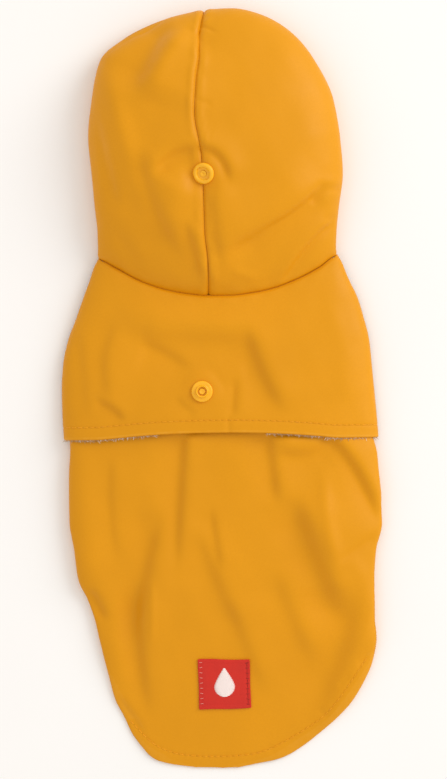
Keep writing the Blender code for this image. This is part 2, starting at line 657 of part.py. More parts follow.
# Belly panel: flat on the floor between the back's wraps, with two leg holes.
belly_rows = [y for y in BACK_ROWS_Y if y >= BELLY_END_Y - 0.01]
belly = np.zeros((len(belly_rows), BELLY_CELLS + 1, 3))
for i, y in enumerate(belly_rows):
    start = back[i, 0, 0] + SEAM
    stop = back[i, -1, 0] - SEAM
    x = np.linspace(start, stop, BELLY_CELLS + 1)
    belly[i, :, 0] = x
    belly[i, :, 1] = row_y(y, x, True)
    belly[i, :, 2] = CLOTH / 2
belly_normal = np.zeros_like(belly)
belly_normal[..., 2] = -1
belly_object = shell("belly_panel", belly, belly_normal, CLOTH, plain("belly_panel", YELLOW, 0.42))
for k, side in enumerate((-1, 1)):
    oval = [
        (
            LEG_HOLE_MIDDLE + side * LEG_HOLE_X + LEG_HOLE_HALF_X * math.cos(2 * math.pi * n / 28),
            LEG_HOLE_Y + LEG_HOLE_HALF_Y * math.sin(2 * math.pi * n / 28),
        )
        for n in range(28)
    ]
    cut(belly_object, f"leg_cutter_{k}", lambda name: prism(name, oval, -3.0, 4.0))

# Label: a plate laid on the back panel's own points and moved out.
corner = {row[0]: np.array(row[1:], float) for row in LABEL}
label = np.zeros((LABEL_CELLS + 1, LABEL_CELLS + 1, 3))
for i, v in enumerate(np.linspace(0, 1, LABEL_CELLS + 1)):
    for j, u in enumerate(np.linspace(0, 1, LABEL_CELLS + 1)):
        x, y = (
            (corner["top_left"] * (1 - u) + corner["top_right"] * u) * (1 - v)
            + (corner["bottom_left"] * (1 - u) + corner["bottom_right"] * u) * v
        )
        z = height_at(back, x, y)
        label[i, j] = (x, y, z + CLOTH / 2 + LABEL_GAP + LABEL_THICK / 2)
shell("label", label, grid_normals(label), LABEL_THICK, plain("label", RED, 0.75))

# Press snaps, and the holes for their prongs.
hood_snap_at = (HOOD_SNAP[0], HOOD_SNAP[1], hood_snap_z)
flap_snap_at = (FLAP_SNAP[0], FLAP_SNAP[1], flap_snap_z)
turned("hood_snap_socket", SOCKET, hood_snap_at, snap_axis(HOOD_SNAP), plain("hood_snap_socket", SNAP_YELLOW, 0.3))
turned("hood_snap_cap", SOCKET_CAP, hood_snap_at, snap_axis(HOOD_SNAP), plain("hood_snap_cap", SNAP_YELLOW, 0.3))
turned("flap_snap_stud", STUD, flap_snap_at, snap_axis(FLAP_SNAP), plain("flap_snap_stud", SNAP_YELLOW, 0.3))
turned("flap_snap_cap", STUD_CAP, flap_snap_at, snap_axis(FLAP_SNAP), plain("flap_snap_cap", SNAP_YELLOW, 0.3))
for k, piece in enumerate(hood_parts):
    cut(piece, f"hood_bore_{k}", lambda name: bore_cutter(name, hood_snap_at, snap_axis(HOOD_SNAP)))
cut(flap_object, "flap_bore", lambda name: bore_cutter(name, flap_snap_at, snap_axis(FLAP_SNAP)))

# Into metres, with the origin at the middle of the garment's box at floor level.
solids = [o for o in bpy.data.objects if not o.hide_render]
low = np.min([np.min([v.co[:] for v in o.data.vertices], axis=0) for o in solids], axis=0)
high = np.max([np.max([v.co[:] for v in o.data.vertices], axis=0) for o in solids], axis=0)
middle = (low + high) / 2
for o in bpy.data.objects:
    for v in o.data.vertices:
        v.co = Vector(((v.co.x - middle[0]) / 1000, (v.co.y - middle[1]) / 1000, (v.co.z - low[2]) / 1000))
    o.data.update()
print("moved by", [round(float(c), 4) for c in (middle[0], middle[1], low[2])], "size", [round(float(c), 2) for c in high - low])
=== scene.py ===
"""Looks for the dog raincoat: cloth shells, creases, stitches, label, snaps, light and
camera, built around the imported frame. Tables are in millimetres in the pattern's own
frame, and ORIGIN moves them onto the CAD parts."""

import math

import bpy
import bmesh
import numpy as np
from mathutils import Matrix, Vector
from mathutils.bvhtree import BVHTree


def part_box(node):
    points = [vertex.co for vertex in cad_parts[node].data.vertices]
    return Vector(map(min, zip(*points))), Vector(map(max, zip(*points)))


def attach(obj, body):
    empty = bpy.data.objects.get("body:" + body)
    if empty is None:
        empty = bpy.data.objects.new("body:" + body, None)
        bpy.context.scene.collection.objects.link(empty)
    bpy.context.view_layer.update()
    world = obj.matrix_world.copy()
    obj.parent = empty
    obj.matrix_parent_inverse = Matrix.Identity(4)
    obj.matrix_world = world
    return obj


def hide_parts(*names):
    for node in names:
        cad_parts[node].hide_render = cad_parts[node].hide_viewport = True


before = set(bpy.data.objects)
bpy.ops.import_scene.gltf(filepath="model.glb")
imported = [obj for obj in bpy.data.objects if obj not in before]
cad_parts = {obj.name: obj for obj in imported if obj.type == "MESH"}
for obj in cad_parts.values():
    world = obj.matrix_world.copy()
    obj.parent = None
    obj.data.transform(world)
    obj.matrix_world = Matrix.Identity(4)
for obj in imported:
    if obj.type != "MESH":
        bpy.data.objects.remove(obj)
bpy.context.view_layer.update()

# ---------------------------------------------------------------- named sizes, mm
CAD_CLOTH = 1.2        # the wall of the CAD pieces
CLOTH = 0.9            # the cloth as it is shown
SEAM = 0.35
HOOD_EXPONENT, BODY_EXPONENT = 2.25, 2.7
HOOD_ROLL, BODY_ROLL = 6.5, 4.0
HOOD_CORNER = 0.74
STITCH_PITCH, STITCH_LONG, THREAD_R = 3.2, 2.45, 0.17
HEM_STITCH_IN = 5.8    # the stitch line stands this far inside a hem
SNAP_R = 5.6
HOOD_SNAP = (-9.4, 112.6, 20.0, 225.0)       # x, y, lean, direction of the lean
FLAP_SNAP = (-10.5, -1.4, 0.0, 0.0)
LEG_HOLE_X, LEG_HOLE_Y = 36.0, 12.0
LEG_HOLE_HALF_X, LEG_HOLE_HALF_Y = 18.5, 24.0
LEG_HOLE_MIDDLE = -2.5
BELLY_END_Y = -121.0

# The stud's axis is upright, so its box gives where the pattern's frame lies.
stud_low, stud_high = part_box("flap_snap_stud")
ORIGIN = (
    FLAP_SNAP[0] - 500 * (stud_low.x + stud_high.x),
    FLAP_SNAP[1] - 500 * (stud_low.y + stud_high.y),
)

# ---------------------------------------------------------------- tables, mm
# The neck seam, from corner to corner over the nape, and its return under the throat.
NECK_COLUMNS = ("x", "top_y", "under_y")
NECK = [
    (-72.0, 68.6, 68.6),
    (-65.6, 68.2, 68.2),
    (-55.7, 63.6, 66.6),
    (-44.0, 57.2, 64.9),
    (-32.0, 52.8, 63.2),
    (-20.1, 50.3, 61.7),
    (-7.2, 49.1, 60.7),
    (3.5, 49.1, 60.9),
    (15.4, 50.6, 62.4),
    (27.0, 53.2, 64.4),
    (39.0, 57.7, 66.6),
    (50.9, 63.8, 68.8),
    (60.9, 70.2, 70.2),
    (70.0, 70.8, 70.8),
]

# The hood: a row for each section. It leaves the centre seam, passes the hood's
# outline at its widest and ends at the face edge, on the floor.
HOOD_COLUMNS = ("a", "seam_x", "seam_y", "seam_z", "side_x", "side_y", "side_z", "face_x", "face_y")
HOOD_LEFT = [
    (0.00, -7.2, 49.1, 13.0, -65.5, 68.2, 3.6, -3.0, 60.6),
    (0.06, -7.0, 55.0, 18.5, -65.4, 73.7, 6.0, -8.0, 63.0),
    (0.14, -7.3, 66.0, 24.0, -65.6, 83.0, 8.0, -17.0, 69.0),
    (0.25, -9.0, 82.0, 28.5, -66.9, 95.5, 9.0, -27.0, 80.0),
    (0.38, -9.6, 100.0, 31.0, -68.6, 113.0, 9.5, -34.5, 95.0),
    (0.52, -10.8, 122.0, 32.0, -70.5, 134.0, 9.5, -38.0, 114.0),
    (0.66, -14.4, 144.0, 31.0, -68.6, 153.0, 9.0, -36.0, 132.0),
    (0.78, -13.6, 162.0, 28.0, -64.3, 173.5, 8.5, -30.0, 146.0),
    (0.88, -12.2, 174.0, 24.5, -51.0, 185.6, 8.0, -20.5, 156.5),
    (0.95, -12.2, 180.0, 21.5, -30.0, 195.5, 7.5, -11.0, 162.5),
    (1.00, -12.6, 184.0, 19.0, -9.5, 200.6, 7.0, -3.0, 165.5),
]
HOOD_RIGHT = [
    (0.00, -7.2, 49.1, 13.0, 60.8, 70.2, 3.6, -3.0, 60.6),
    (0.06, -7.0, 55.0, 18.5, 60.0, 75.0, 6.0, 2.5, 63.0),
    (0.14, -7.3, 66.0, 24.0, 60.3, 84.0, 8.0, 11.0, 69.0),
    (0.25, -9.0, 82.0, 28.5, 61.6, 97.0, 9.0, 21.0, 80.0),
    (0.38, -9.6, 100.0, 31.0, 63.6, 114.0, 9.5, 28.0, 95.0),
    (0.52, -10.8, 122.0, 32.0, 62.2, 132.0, 9.5, 31.5, 114.0),
    (0.66, -14.4, 144.0, 31.0, 58.5, 153.5, 9.0, 29.5, 132.0),
    (0.78, -13.6, 162.0, 28.0, 48.8, 173.5, 8.5, 23.5, 146.0),
    (0.88, -12.2, 174.0, 24.5, 36.6, 188.4, 8.0, 14.0, 156.5),
    (0.94, -12.2, 179.2, 22.0, 20.5, 198.0, 7.5, 6.0, 161.8),
    (0.97, -12.3, 181.7, 20.6, 6.0, 201.2, 7.2, 1.5, 163.8),
    (1.00, -12.6, 184.0, 19.0, -9.5, 200.6, 7.0, -3.0, 165.5),
]

# The coat's back: its outline, the height along its middle, the height of its widest
# point, and how far it wraps under on the left and on the right.
BACK_COLUMNS = ("y", "left_x", "right_x", "top_z", "left_z", "right_z", "left_wrap", "right_wrap")
BACK = [
    (68.5, -64.2, 59.6, 11.4, 3.6, 3.6, 13.0, 13.0),
    (57.8, -66.6, 63.9, 11.5, 3.8, 3.8, 14.0, 14.0),
    (47.2, -70.5, 68.8, 11.7, 4.0, 4.0, 15.0, 15.0),
    (36.6, -74.2, 72.1, 11.9, 4.0, 4.0, 15.0, 15.0),
    (26.0, -78.2, 74.8, 12.0, 4.0, 4.0, 15.0, 15.0),
    (10.0, -81.2, 76.6, 12.2, 4.0, 4.0, 15.0, 15.0),
    (-6.0, -81.4, 77.9, 12.3, 4.0, 4.0, 15.0, 15.0),
    (-16.4, -81.0, 79.0, 12.3, 4.0, 4.0, 15.0, 15.0),
    (-26.0, -80.4, 80.1, 12.2, 4.0, 4.0, 15.0, 15.0),
    (-34.0, -80.1, 82.0, 12.0, 4.0, 4.0, 15.0, 15.0),
    (-45.0, -80.5, 82.6, 11.8, 4.0, 4.0, 15.0, 15.0),
    (-60.0, -80.6, 83.8, 11.5, 4.0, 4.0, 15.0, 15.0),
    (-71.0, -80.4, 84.6, 11.2, 4.0, 4.0, 15.0, 15.0),
    (-85.0, -77.9, 81.4, 10.7, 3.8, 3.9, 15.0, 15.0),
    (-101.0, -75.8, 80.0, 9.9, 3.6, 3.6, 14.0, 14.0),
    (-112.0, -70.8, 79.5, 9.0, 3.3, 3.2, 13.0, 12.5),
    (-122.0, -67.3, 79.7, 8.0, 3.0, 2.7, 12.0, 9.5),
    (-133.0, -64.7, 81.0, 7.0, 2.5, 1.8, 10.0, 4.0),
    (-144.0, -62.0, 79.3, 6.0, 2.0, 0.6, 7.5, 0.0),
    (-154.0, -59.4, 75.2, 5.2, 1.6, 0.6, 5.0, 0.0),
    (-165.0, -56.4, 68.8, 4.3, 1.1, 0.6, 2.5, 0.0),
    (-175.0, -51.2, 60.0, 3.5, 0.6, 0.6, 0.0, 0.0),
    (-183.0, -47.4, 51.0, 2.8, 0.6, 0.6, 0.0, 0.0),
    (-190.0, -42.2, 41.9, 2.2, 0.6, 0.6, 0.0, 0.0),
    (-195.5, -37.0, 32.0, 1.6, 0.6, 0.6, 0.0, 0.0),
    (-199.2, -28.0, 18.0, 1.0, 0.6, 0.6, 0.0, 0.0),
    (-201.1, -14.0, 9.0, 0.6, 0.6, 0.6, 0.0, 0.0),
]

# The cape flap: its side edges from the neck corner to the hem, the height of its
# middle above the coat's middle surface, and how much of the neck's curve is left.
FLAP_COLUMNS = ("v", "left_x", "left_y", "right_x", "right_y", "above", "neck_share")
FLAP = [
    (0.00, -66.6, 68.4, 62.2, 70.5, 1.60, 1.00),
    (0.10, -69.6, 58.5, 66.6, 59.0, 2.60, 0.90),
    (0.22, -73.4, 48.0, 71.8, 48.0, 3.60, 0.74),
    (0.34, -77.3, 37.0, 75.2, 37.0, 3.90, 0.57),
    (0.46, -81.4, 26.0, 77.9, 26.0, 4.00, 0.38),
    (0.58, -84.0, 14.0, 79.1, 14.5, 4.00, 0.20),
    (0.72, -84.8, 1.0, 80.4, 1.5, 4.00, 0.03),
    (0.86, -84.5, -12.5, 81.7, -11.5, 3.90, -0.08),
    (1.00, -83.6, -26.3, 82.8, -24.6, 3.80, -0.16),
]
FLAP_SIDE_Z = 2.0

# Creases: three plan points, half width, height along the normal, lean to one side.
HOOD_CREASES = [
    (-12.0, 198.5, -26.0, 177.0, -38.0, 154.0, 4.0, 0.6, 0.0),  # ridge that runs down and out from the crown
    (-23.0, 194.0, -35.5, 174.0, -46.0, 151.0, 8.5, -0.3, -2.6),  # broad facet on its outer side
    (-62.0, 174.0, -49.0, 126.0, -34.0, 76.0, 5.5, 1.7, 0.0),  # long soft ridge down the left side
    (-67.0, 152.0, -60.0, 120.0, -53.0, 92.0, 5.0, -0.7, -0.9),  # facet between it and the edge
    (-42.0, 128.0, -35.0, 98.0, -17.0, 62.0, 6.5, -0.5, -1.5),  # broad facet from the arch to the neck
    (-19.0, 90.0, -14.0, 73.0, -9.0, 54.0, 3.5, -0.3, -0.8),  # facet beside the seam, low
    (-38.0, 110.0, -26.0, 123.0, -6.0, 126.0, 4.5, -0.1, -1.4),  # brow over the snap, left part
    (-16.0, 127.0, -1.5, 121.5, 5.0, 105.0, 3.8, -0.1, -1.4),  # brow over the snap, right part
    (-31.0, 116.0, -25.0, 106.0, -19.0, 94.0, 6.0, 0.8, 0.0),  # fullness under the brow
    (-5.5, 112.0, -4.0, 88.0, 1.0, 56.0, 6.0, -0.2, -1.3),  # hollow beside the seam under the snap
    (58.0, 112.0, 30.0, 88.0, -7.0, 71.0, 6.5, -0.6, 1.7),  # long facet that runs in towards the seam
    (53.0, 106.5, 38.0, 92.5, 15.0, 80.0, 1.9, -0.8, 0.0),  # its crease line
    (55.0, 109.0, 50.5, 102.0, 46.0, 97.0, 3.0, -1.0, 0.0),  # dimple at its outer end
    (59.0, 114.0, 56.5, 104.0, 52.0, 94.0, 3.5, 0.5, 0.0),  # swelling round the dimple
    (63.0, 91.0, 47.0, 77.0, 29.0, 53.0, 2.4, -1.0, 0.7),  # thin crease above the neck seam
    (4.0, 62.5, 11.0, 60.5, 19.6, 57.9, 2.5, 0.5, 0.0),  # small swelling at the neck seam
    (-12.1, 191.0, -8.0, 189.2, -2.0, 186.6, 1.3, -0.5, 0.0),  # pucker at the seam, high
    (-14.2, 150.7, -10.0, 149.4, -4.0, 148.0, 1.3, -0.5, 0.0),  # pucker at the seam, middle
    (25.4, 190.0, 41.3, 158.5, 47.7, 118.0, 10.0, 0.7, 0.0),  # broad fullness of the right side
    (70.0, 105.5, 62.0, 105.0, 53.0, 106.0, 2.4, -0.8, 0.0),  # dent in the right edge
    (68.0, 90.5, 60.0, 90.0, 52.0, 89.0, 2.0, -0.6, 0.0),  # second dent below it
    (-57.1, 84.0, -49.8, 72.6, -42.0, 59.0, 4.0, -0.5, 0.0),  # soft dip above the neck seam, left
]
FLAP_CREASES = [
    (-53.0, 38.0, -62.0, 14.0, -56.0, -12.0, 5.0, 0.0, -0.7),  # wandering facet on the left
    (13.0, 36.0, 20.5, 11.0, 35.5, -16.0, 5.5, -0.2, -1.2),  # diagonal facet right of the stud
    (7.5, 8.0, 7.0, -5.0, 6.0, -17.0, 2.8, -0.5, -0.4),  # dip that meets the hem's pleat
    (-62.0, 30.0, -18.0, 28.0, 28.0, 26.0, 10.0, -0.1, -1.4),  # broad slope under the nape
    (-44.0, 26.0, -30.0, 20.0, -12.0, 8.0, 5.0, -0.1, -0.7),  # its left end, down to the stud
    (-68.0, -5.0, -58.0, -10.0, -50.0, -18.0, 2.8, -0.3, -0.7),  # short crease at the left hem
    (-4.0, 4.0, 5.0, 8.0, 14.0, 10.0, 5.0, 0.5, 0.0),  # fullness right of the stud
    (56.0, 48.0, 63.6, 20.7, 68.0, -12.0, 6.0, 0.5, 0.0),  # fullness of the right side
    (-77.0, 37.0, -73.5, 10.1, -72.1, -17.0, 4.5, -0.3, -0.4),  # fall of the left side
    (-25.3, -2.8, -19.1, -9.0, -12.0, -13.2, 3.2, -0.4, -0.3),  # dimple under the stud
]
BODY_CREASES = [
    (-18.0, -6.0, -21.0, -50.0, -24.0, -106.0, 4.0, -0.4, -1.1),  # long facet from under the flap
    (-30.0, -62.0, -39.5, -98.0, -47.5, -142.0, 6.0, -0.3, -1.3),  # facet towards the left side
    (-42.0, -98.0, -43.0, -135.0, -37.0, -178.0, 5.5, -0.2, -1.3),  # and on down to the hem
    (-37.0, -98.0, -36.6, -118.0, -37.2, -138.0, 1.7, 0.5, 0.0),  # sharp ridge along it
    (-57.0, -98.0, -56.0, -130.0, -50.0, -168.0, 6.0, 1.1, 0.0),  # fullness left of it
    (-5.5, -60.0, -2.8, -79.0, 0.5, -98.0, 2.8, -0.2, -0.5),  # short crease on the middle
    (23.5, -8.0, 27.0, -38.0, 30.5, -64.0, 4.8, -0.3, -1.2),  # wedge under the flap
    (26.0, -30.0, 43.0, -33.5, 60.0, -27.0, 6.5, -0.1, -1.3),  # slope beside it
    (46.0, -16.0, 70.5, -41.0, 87.0, -78.0, 3.8, -0.5, -1.3),  # deep diagonal at the right side
    (38.0, -54.0, 50.0, -87.0, 67.0, -130.0, 8.5, -0.2, -2.4),  # the big facet
    (54.5, -36.0, 55.8, -70.0, 63.0, -98.0, 3.6, 0.9, 0.0),  # ridge along its edge
    (62.4, -88.0, 75.0, -100.0, 80.6, -126.0, 4.5, 0.6, 0.0),  # fullness below it
    (59.0, -92.0, 72.0, -83.0, 83.0, -75.0, 2.6, -0.5, -0.3),  # crease from the ridge to the edge
    (-14.0, -70.0, -3.0, -100.0, 11.0, -132.0, 6.5, 0.0, -0.9),  # soft facet across the middle
    (3.0, -108.0, 12.0, -134.0, 25.0, -166.0, 6.0, 0.0, -0.7),  # its lower end beside the label
    (28.0, -92.0, 37.0, -119.0, 52.0, -154.0, 8.0, 0.0, -1.0),  # soft facet right of it
    (71.0, -100.0, 66.0, -140.0, 44.0, -186.0, 10.0, -0.2, -2.2),  # broad facet along the right hem
    (-73.0, -18.0, -73.0, -66.0, -66.0, -116.0, 8.0, 1.6, 0.0),  # fullness of the left side
    (-57.0, -32.0, -58.5, -60.0, -54.0, -98.0, 3.6, -0.2, -0.4),  # faint facet on it
    (-44.0, -48.0, -43.0, -70.0, -43.0, -94.0, 5.0, -0.5, 0.0),  # shallow trough beside it
    (-70.5, -104.0, -65.5, -114.0, -61.0, -124.0, 2.8, -0.9, -0.6),  # fold below the left notch
    (-56.0, -162.0, -48.0, -173.0, -39.5, -185.0, 2.4, -0.7, -0.4),  # gather where the hem begins, left
    (77.5, -139.5, 74.5, -143.5, 71.0, -147.0, 1.5, -0.6, 0.0),  # dimple at the hem, right
    (68.5, -151.0, 65.0, -155.0, 61.5, -158.5, 1.4, -0.5, 0.0),  # second dimple
    (57.5, -175.5, 54.0, -172.5, 50.5, -169.5, 1.5, -0.6, 0.0),  # third dimple
    (28.0, -195.0, 26.0, -191.5, 23.8, -187.5, 1.4, -0.5, 0.0),  # fourth dimple
]


# ---------------------------------------------------------------- tools
def column(table, columns, name):
    return np.array([row[columns.index(name)] for row in table], float)


def smooth_table(xs, ys, at):
    """A curve through a table's points that never overshoots them."""
    xs, ys, at = np.asarray(xs, float), np.asarray(ys, float), np.asarray(at, float)
    if xs[0] > xs[-1]:
        xs, ys = xs[::-1], ys[::-1]
    step = np.diff(xs)
    slope = np.diff(ys) / step
    tangent = np.zeros(len(xs))
    tangent[0], tangent[-1] = slope[0], slope[-1]
    for i in range(1, len(xs) - 1):
        if slope[i - 1] * slope[i] > 0:
            w0, w1 = 2 * step[i] + step[i - 1], step[i] + 2 * step[i - 1]
            tangent[i] = (w0 + w1) / (w0 / slope[i - 1] + w1 / slope[i])
    at = np.clip(at, xs[0], xs[-1])
    i = np.clip(np.searchsorted(xs, at, side="right") - 1, 0, len(xs) - 2)
    t = (at - xs[i]) / step[i]
    return (
        (1 + 2 * t) * (1 - t) ** 2 * ys[i]
        + t * (1 - t) ** 2 * step[i] * tangent[i]
        + t * t * (3 - 2 * t) * ys[i + 1]
        + t * t * (t - 1) * step[i] * tangent[i + 1]
    )


def read(table, columns, name, at):
    return smooth_table(column(table, columns, columns[0]), column(table, columns, name), at)


def neck_top(x):
    return read(NECK, NECK_COLUMNS, "top_y", x)


def neck_under(x):
    return read(NECK, NECK_COLUMNS, "under_y", x)


def smoothstep(low, high, x):
    t = np.clip((np.asarray(x, float) - low) / (high - low), 0, 1)
    return t * t * (3 - 2 * t)


def along_line(points, shares):
    """Points at the given shares of a fine line's length."""
    gaps = np.linalg.norm(np.diff(points, axis=0), axis=1)
    run = np.concatenate([[0.0], np.cumsum(gaps)])
    return np.stack([np.interp(np.asarray(shares) * run[-1], run, points[:, k]) for k in range(points.shape[1])], axis=1)


def line_length(points):
    return float(np.linalg.norm(np.diff(points, axis=0), axis=1).sum())


def half_section(middle, side, middle_z, side_z, exponent, fine=64):
    """From the middle over to the widest point: plan x, y, z and the share of height."""
    angle = np.linspace(0, math.pi / 2, fine)
    out = np.sin(angle) ** (2 / exponent)
    up = np.cos(angle) ** (2 / exponent)
    up[-1] = 0.0
    plan = middle[None, :] + out[:, None] * (side - middle)[None, :]
    return np.column_stack([plan, side_z + (middle_z - side_z) * up, up])


def roll_under(side, side_z, edge, roll, fine=16, flat=24):
    """From the widest point in under the garment and on to a free edge on the floor."""
    way = edge - side
    far = float(np.linalg.norm(way))
    way = way / max(far, 1e-9)
    roll = min(roll, 0.7 * far)
    angle = np.linspace(0, math.pi / 2, fine)[1:]
    inward = roll * (1 - np.cos(angle))
    z = side_z - (side_z - CAD_CLOTH / 2) * np.sin(angle)
    curve = np.column_stack([side[None, :] + inward[:, None] * way[None, :], z])
    rest = np.linspace(roll, far, flat)[1:]
    under = np.column_stack([side[None, :] + rest[:, None] * way[None, :], np.full(len(rest), CAD_CLOTH / 2)])
    return curve, under


# ---------------------------------------------------------------- creases and noise
def crease_height(table, x, y):
    """Height of soft ridges, troughs and facets at plan points. Each follows a bow
    through three points and dies away at both ends. tilt makes a facet: it raises the
    right-hand side, seen along the line, and lowers the left-hand side."""
    total = np.zeros_like(x)
    for x0, y0, x1, y1, x2, y2, half, height, tilt in table:
        t = np.linspace(0, 1, 15)
        # the bow passes through its middle point
        cx, cy = 2 * x1 - (x0 + x2) / 2, 2 * y1 - (y0 + y2) / 2
        bx = (1 - t) ** 2 * x0 + 2 * t * (1 - t) * cx + t * t * x2
        by = (1 - t) ** 2 * y0 + 2 * t * (1 - t) * cy + t * t * y2
        reach = 5.5 * half if tilt else 2.6 * half
        inside = (x > bx.min() - reach) & (x < bx.max() + reach) & (y > by.min() - reach) & (y < by.max() + reach)
        px, py = x[inside], y[inside]
        near = np.full(px.shape, 1e9)
        run, off = np.zeros_like(px), np.zeros_like(px)
        for k in range(len(t) - 1):
            long = math.hypot(bx[k + 1] - bx[k], by[k + 1] - by[k])
            dx, dy = (bx[k + 1] - bx[k]) / long, (by[k + 1] - by[k]) / long
            s = np.clip((px - bx[k]) * dx + (py - by[k]) * dy, 0, long)
            away = np.hypot(px - bx[k] - s * dx, py - by[k] - s * dy)
            closer = away < near
            near = np.where(closer, away, near)
            run = np.where(closer, (k + s / long) / (len(t) - 1), run)
            off = np.where(closer, (px - bx[k]) * dy - (py - by[k]) * dx, off)
        strength = smoothstep(0, 0.30, run) * smoothstep(0, 0.30, 1 - run)
        total[inside] += strength * height * np.exp(-((near / half) ** 2))
        total[inside] += strength * 1.55 * tilt * np.tanh(1.75 * off / half) * np.exp(-((near / half / 2.5) ** 2))
    return total


# length, direction, phase, height
WAVES = [
    (61.0, 20.0, 0.4, 0.16), (47.0, 75.0, 2.1, 0.14), (34.0, -40.0, 4.4, 0.10),
    (27.0, 50.0, 1.3, 0.07), (19.0, -15.0, 5.2, 0.045), (15.0, 100.0, 0.9, 0.035),
    (11.0, 30.0, 3.3, 0.02), (9.0, -65.0, 2.7, 0.015),
]


def wander(x, y, seed=0.0):
    """Slow unevenness of laid cloth."""
    total = np.zeros_like(x)
    bend = 4.0 * np.sin(x / 23.0 + seed) + 4.0 * np.sin(y / 29.0 + 2 * seed)
    for k, (long, way, phase, height) in enumerate(WAVES):
        c, s = math.cos(math.radians(way)), math.sin(math.radians(way))
        total += height * np.sin(2 * math.pi * (x * c + y * s + bend) / long + phase + seed * (k + 1))
    return total


def bump_at(d, place, width):
    return np.exp(-(((d - place) / width) ** 2))


# ---------------------------------------------------------------- surfaces
def flat_patch(points, snap, base_z, reach):
    """Leans the cloth square to a snap's axis, softly, around the snap."""
    x, y, lean, towards = snap
    lean_x = math.tan(math.radians(lean)) * math.cos(math.radians(towards))
    lean_y = math.tan(math.radians(lean)) * math.sin(math.radians(towards))
    away = np.hypot(points[..., 0] - x, points[..., 1] - y)
    plane = base_z - lean_x * (points[..., 0] - x) - lean_y * (points[..., 1] - y)
    w = np.exp(-((away / reach) ** 3))
    up = points[..., 2] > CAD_CLOTH
    points[..., 2] = np.where(up, points[..., 2] * (1 - w) + plane * w, points[..., 2])


def run_lengths(grid, axis):
    """Distance along the rows or columns of a grid from its first edge."""
    step = np.linalg.norm(np.diff(grid, axis=axis), axis=2)
    zero = np.zeros_like(np.take(step, [0], axis=axis))
    return np.cumsum(np.concatenate([zero, step], axis=axis), axis=axis)


def path_distance(points, path):
    """Distance of points from a polyline in space."""
    flat = points.reshape(-1, 3)
    near = np.full(len(flat), 1e9)
    for a, b in zip(path[:-1], path[1:]):
        way = b - a
        size = float(way @ way)
        if size < 1e-12:
            continue
        t = np.clip((flat - a) @ way / size, 0, 1)
        near = np.minimum(near, np.linalg.norm(flat - a - t[:, None] * way, axis=1))
    return near.reshape(points.shape[:2])


def grid_normals(grid):
    normal = np.cross(np.gradient(grid, axis=1), np.gradient(grid, axis=0))
    normal /= np.maximum(np.linalg.norm(normal, axis=2, keepdims=True), 1e-12)
    top = np.unravel_index(np.argmax(grid[..., 2]), grid.shape[:2])
    return normal if normal[top][2] > 0 else -normal


def square_to(normal, axis):
    normal = normal.copy()
    normal[..., axis] = 0
    return normal / np.maximum(np.linalg.norm(normal, axis=-1, keepdims=True), 1e-12)


def hood_panel(table, side_sign, steps, top_shares, roll_cells, flat_cells):
    n, cols = len(top_shares) - 1, len(top_shares) + roll_cells + flat_cells
    grid = np.zeros((len(steps), cols, 3))
    share = np.zeros(grid.shape[:2])
    for i, a in enumerate(steps):
        g = {name: float(read(table, HOOD_COLUMNS, name, a)) for name in HOOD_COLUMNS}
        middle = np.array([g["seam_x"] + side_sign * SEAM / 2, g["seam_y"]])
        side = np.array([g["side_x"] + side_sign * SEAM / 2 * float(smoothstep(0.97, 1, a)), g["side_y"]])
        edge = np.array([g["face_x"] + side_sign * SEAM, g["face_y"]])
        top = half_section(middle, side, g["seam_z"], g["side_z"], HOOD_EXPONENT)
        curve, under = roll_under(side, g["side_z"], edge, HOOD_ROLL)
        hug = math.exp(-((a / 0.09) ** 2))
        straight = middle[1] + (top[:, 0] - middle[0]) / (side[0] - middle[0]) * (side[1] - middle[1])
        if abs(side[0] - middle[0]) > 20:
            ends = np.interp(top[:, 0], *zip(*sorted([(middle[0], float(neck_top(middle[0]))), (side[0], float(neck_top(side[0])))])))
            top[:, 1] = straight + hug * (neck_top(top[:, 0]) - ends)
        for part in (curve, under):
            part[:, 1] += hug * (neck_under(part[:, 0]) - np.interp(part[:, 0], *zip(*sorted([(side[0], side[1]), (edge[0], edge[1])])))) if a < 0.3 else 0
        points = along_line(top, top_shares)
        grid[i, : n + 1], share[i, : n + 1] = points[:, :3], points[:, 3]
        grid[i, n : n + roll_cells + 1] = along_line(np.vstack([top[-1:, :3], curve]), np.linspace(0, 1, roll_cells + 1))
        grid[i, n + roll_cells :] = along_line(np.vstack([curve[-1:], under]), np.linspace(0, 1, flat_cells + 1))
    return grid, share


def back_section(y):
    g = {name: float(read(BACK, BACK_COLUMNS, name, y)) for name in BACK_COLUMNS}
    middle = np.array([(g["left_x"] + g["right_x"]) / 2, y])
    halves = []
    for end, side_z, wrap in (("left_x", "left_z", "left_wrap"), ("right_x", "right_z", "right_wrap")):
        side = np.array([g[end], y])
        inward = math.copysign(1.0, middle[0] - side[0])
        top = half_section(middle, side, g["top_z"], g[side_z], BODY_EXPONENT)
        if g[wrap] > 0.05:
            edge = np.array([g[end] + inward * g[wrap], y])
            curve, under = roll_under(side, g[side_z], edge, min(BODY_ROLL, 0.5 * g[wrap]))
            tail = np.vstack([curve, under])
            tail = np.column_stack([tail, np.zeros(len(tail))])
        else:
            tail = np.zeros((0, 4))
        halves.append((top, tail))
    (lt, lw), (rt, rw) = halves
    return lw[::-1], lt[::-1], rt[1:], rw


def neck_drop(x, under):
    curve = neck_under(x) if under else neck_top(x)
    return curve - (68.2 + (70.2 - 68.2) * np.clip((x + 65.6) / 126.5, 0, 1))


def row_y(y, x, under):
    corner = 68.2 + (70.2 - 68.2) * np.clip((x + 65.6) / 126.5, 0, 1) - 68.5
    s = 0.5 * float(smoothstep(-35.0, 68.5, y)) + 0.5 * float(np.clip((y + 35.0) / 103.5, 0, 1))
    return y + s * (neck_drop(x, under) + corner) - SEAM


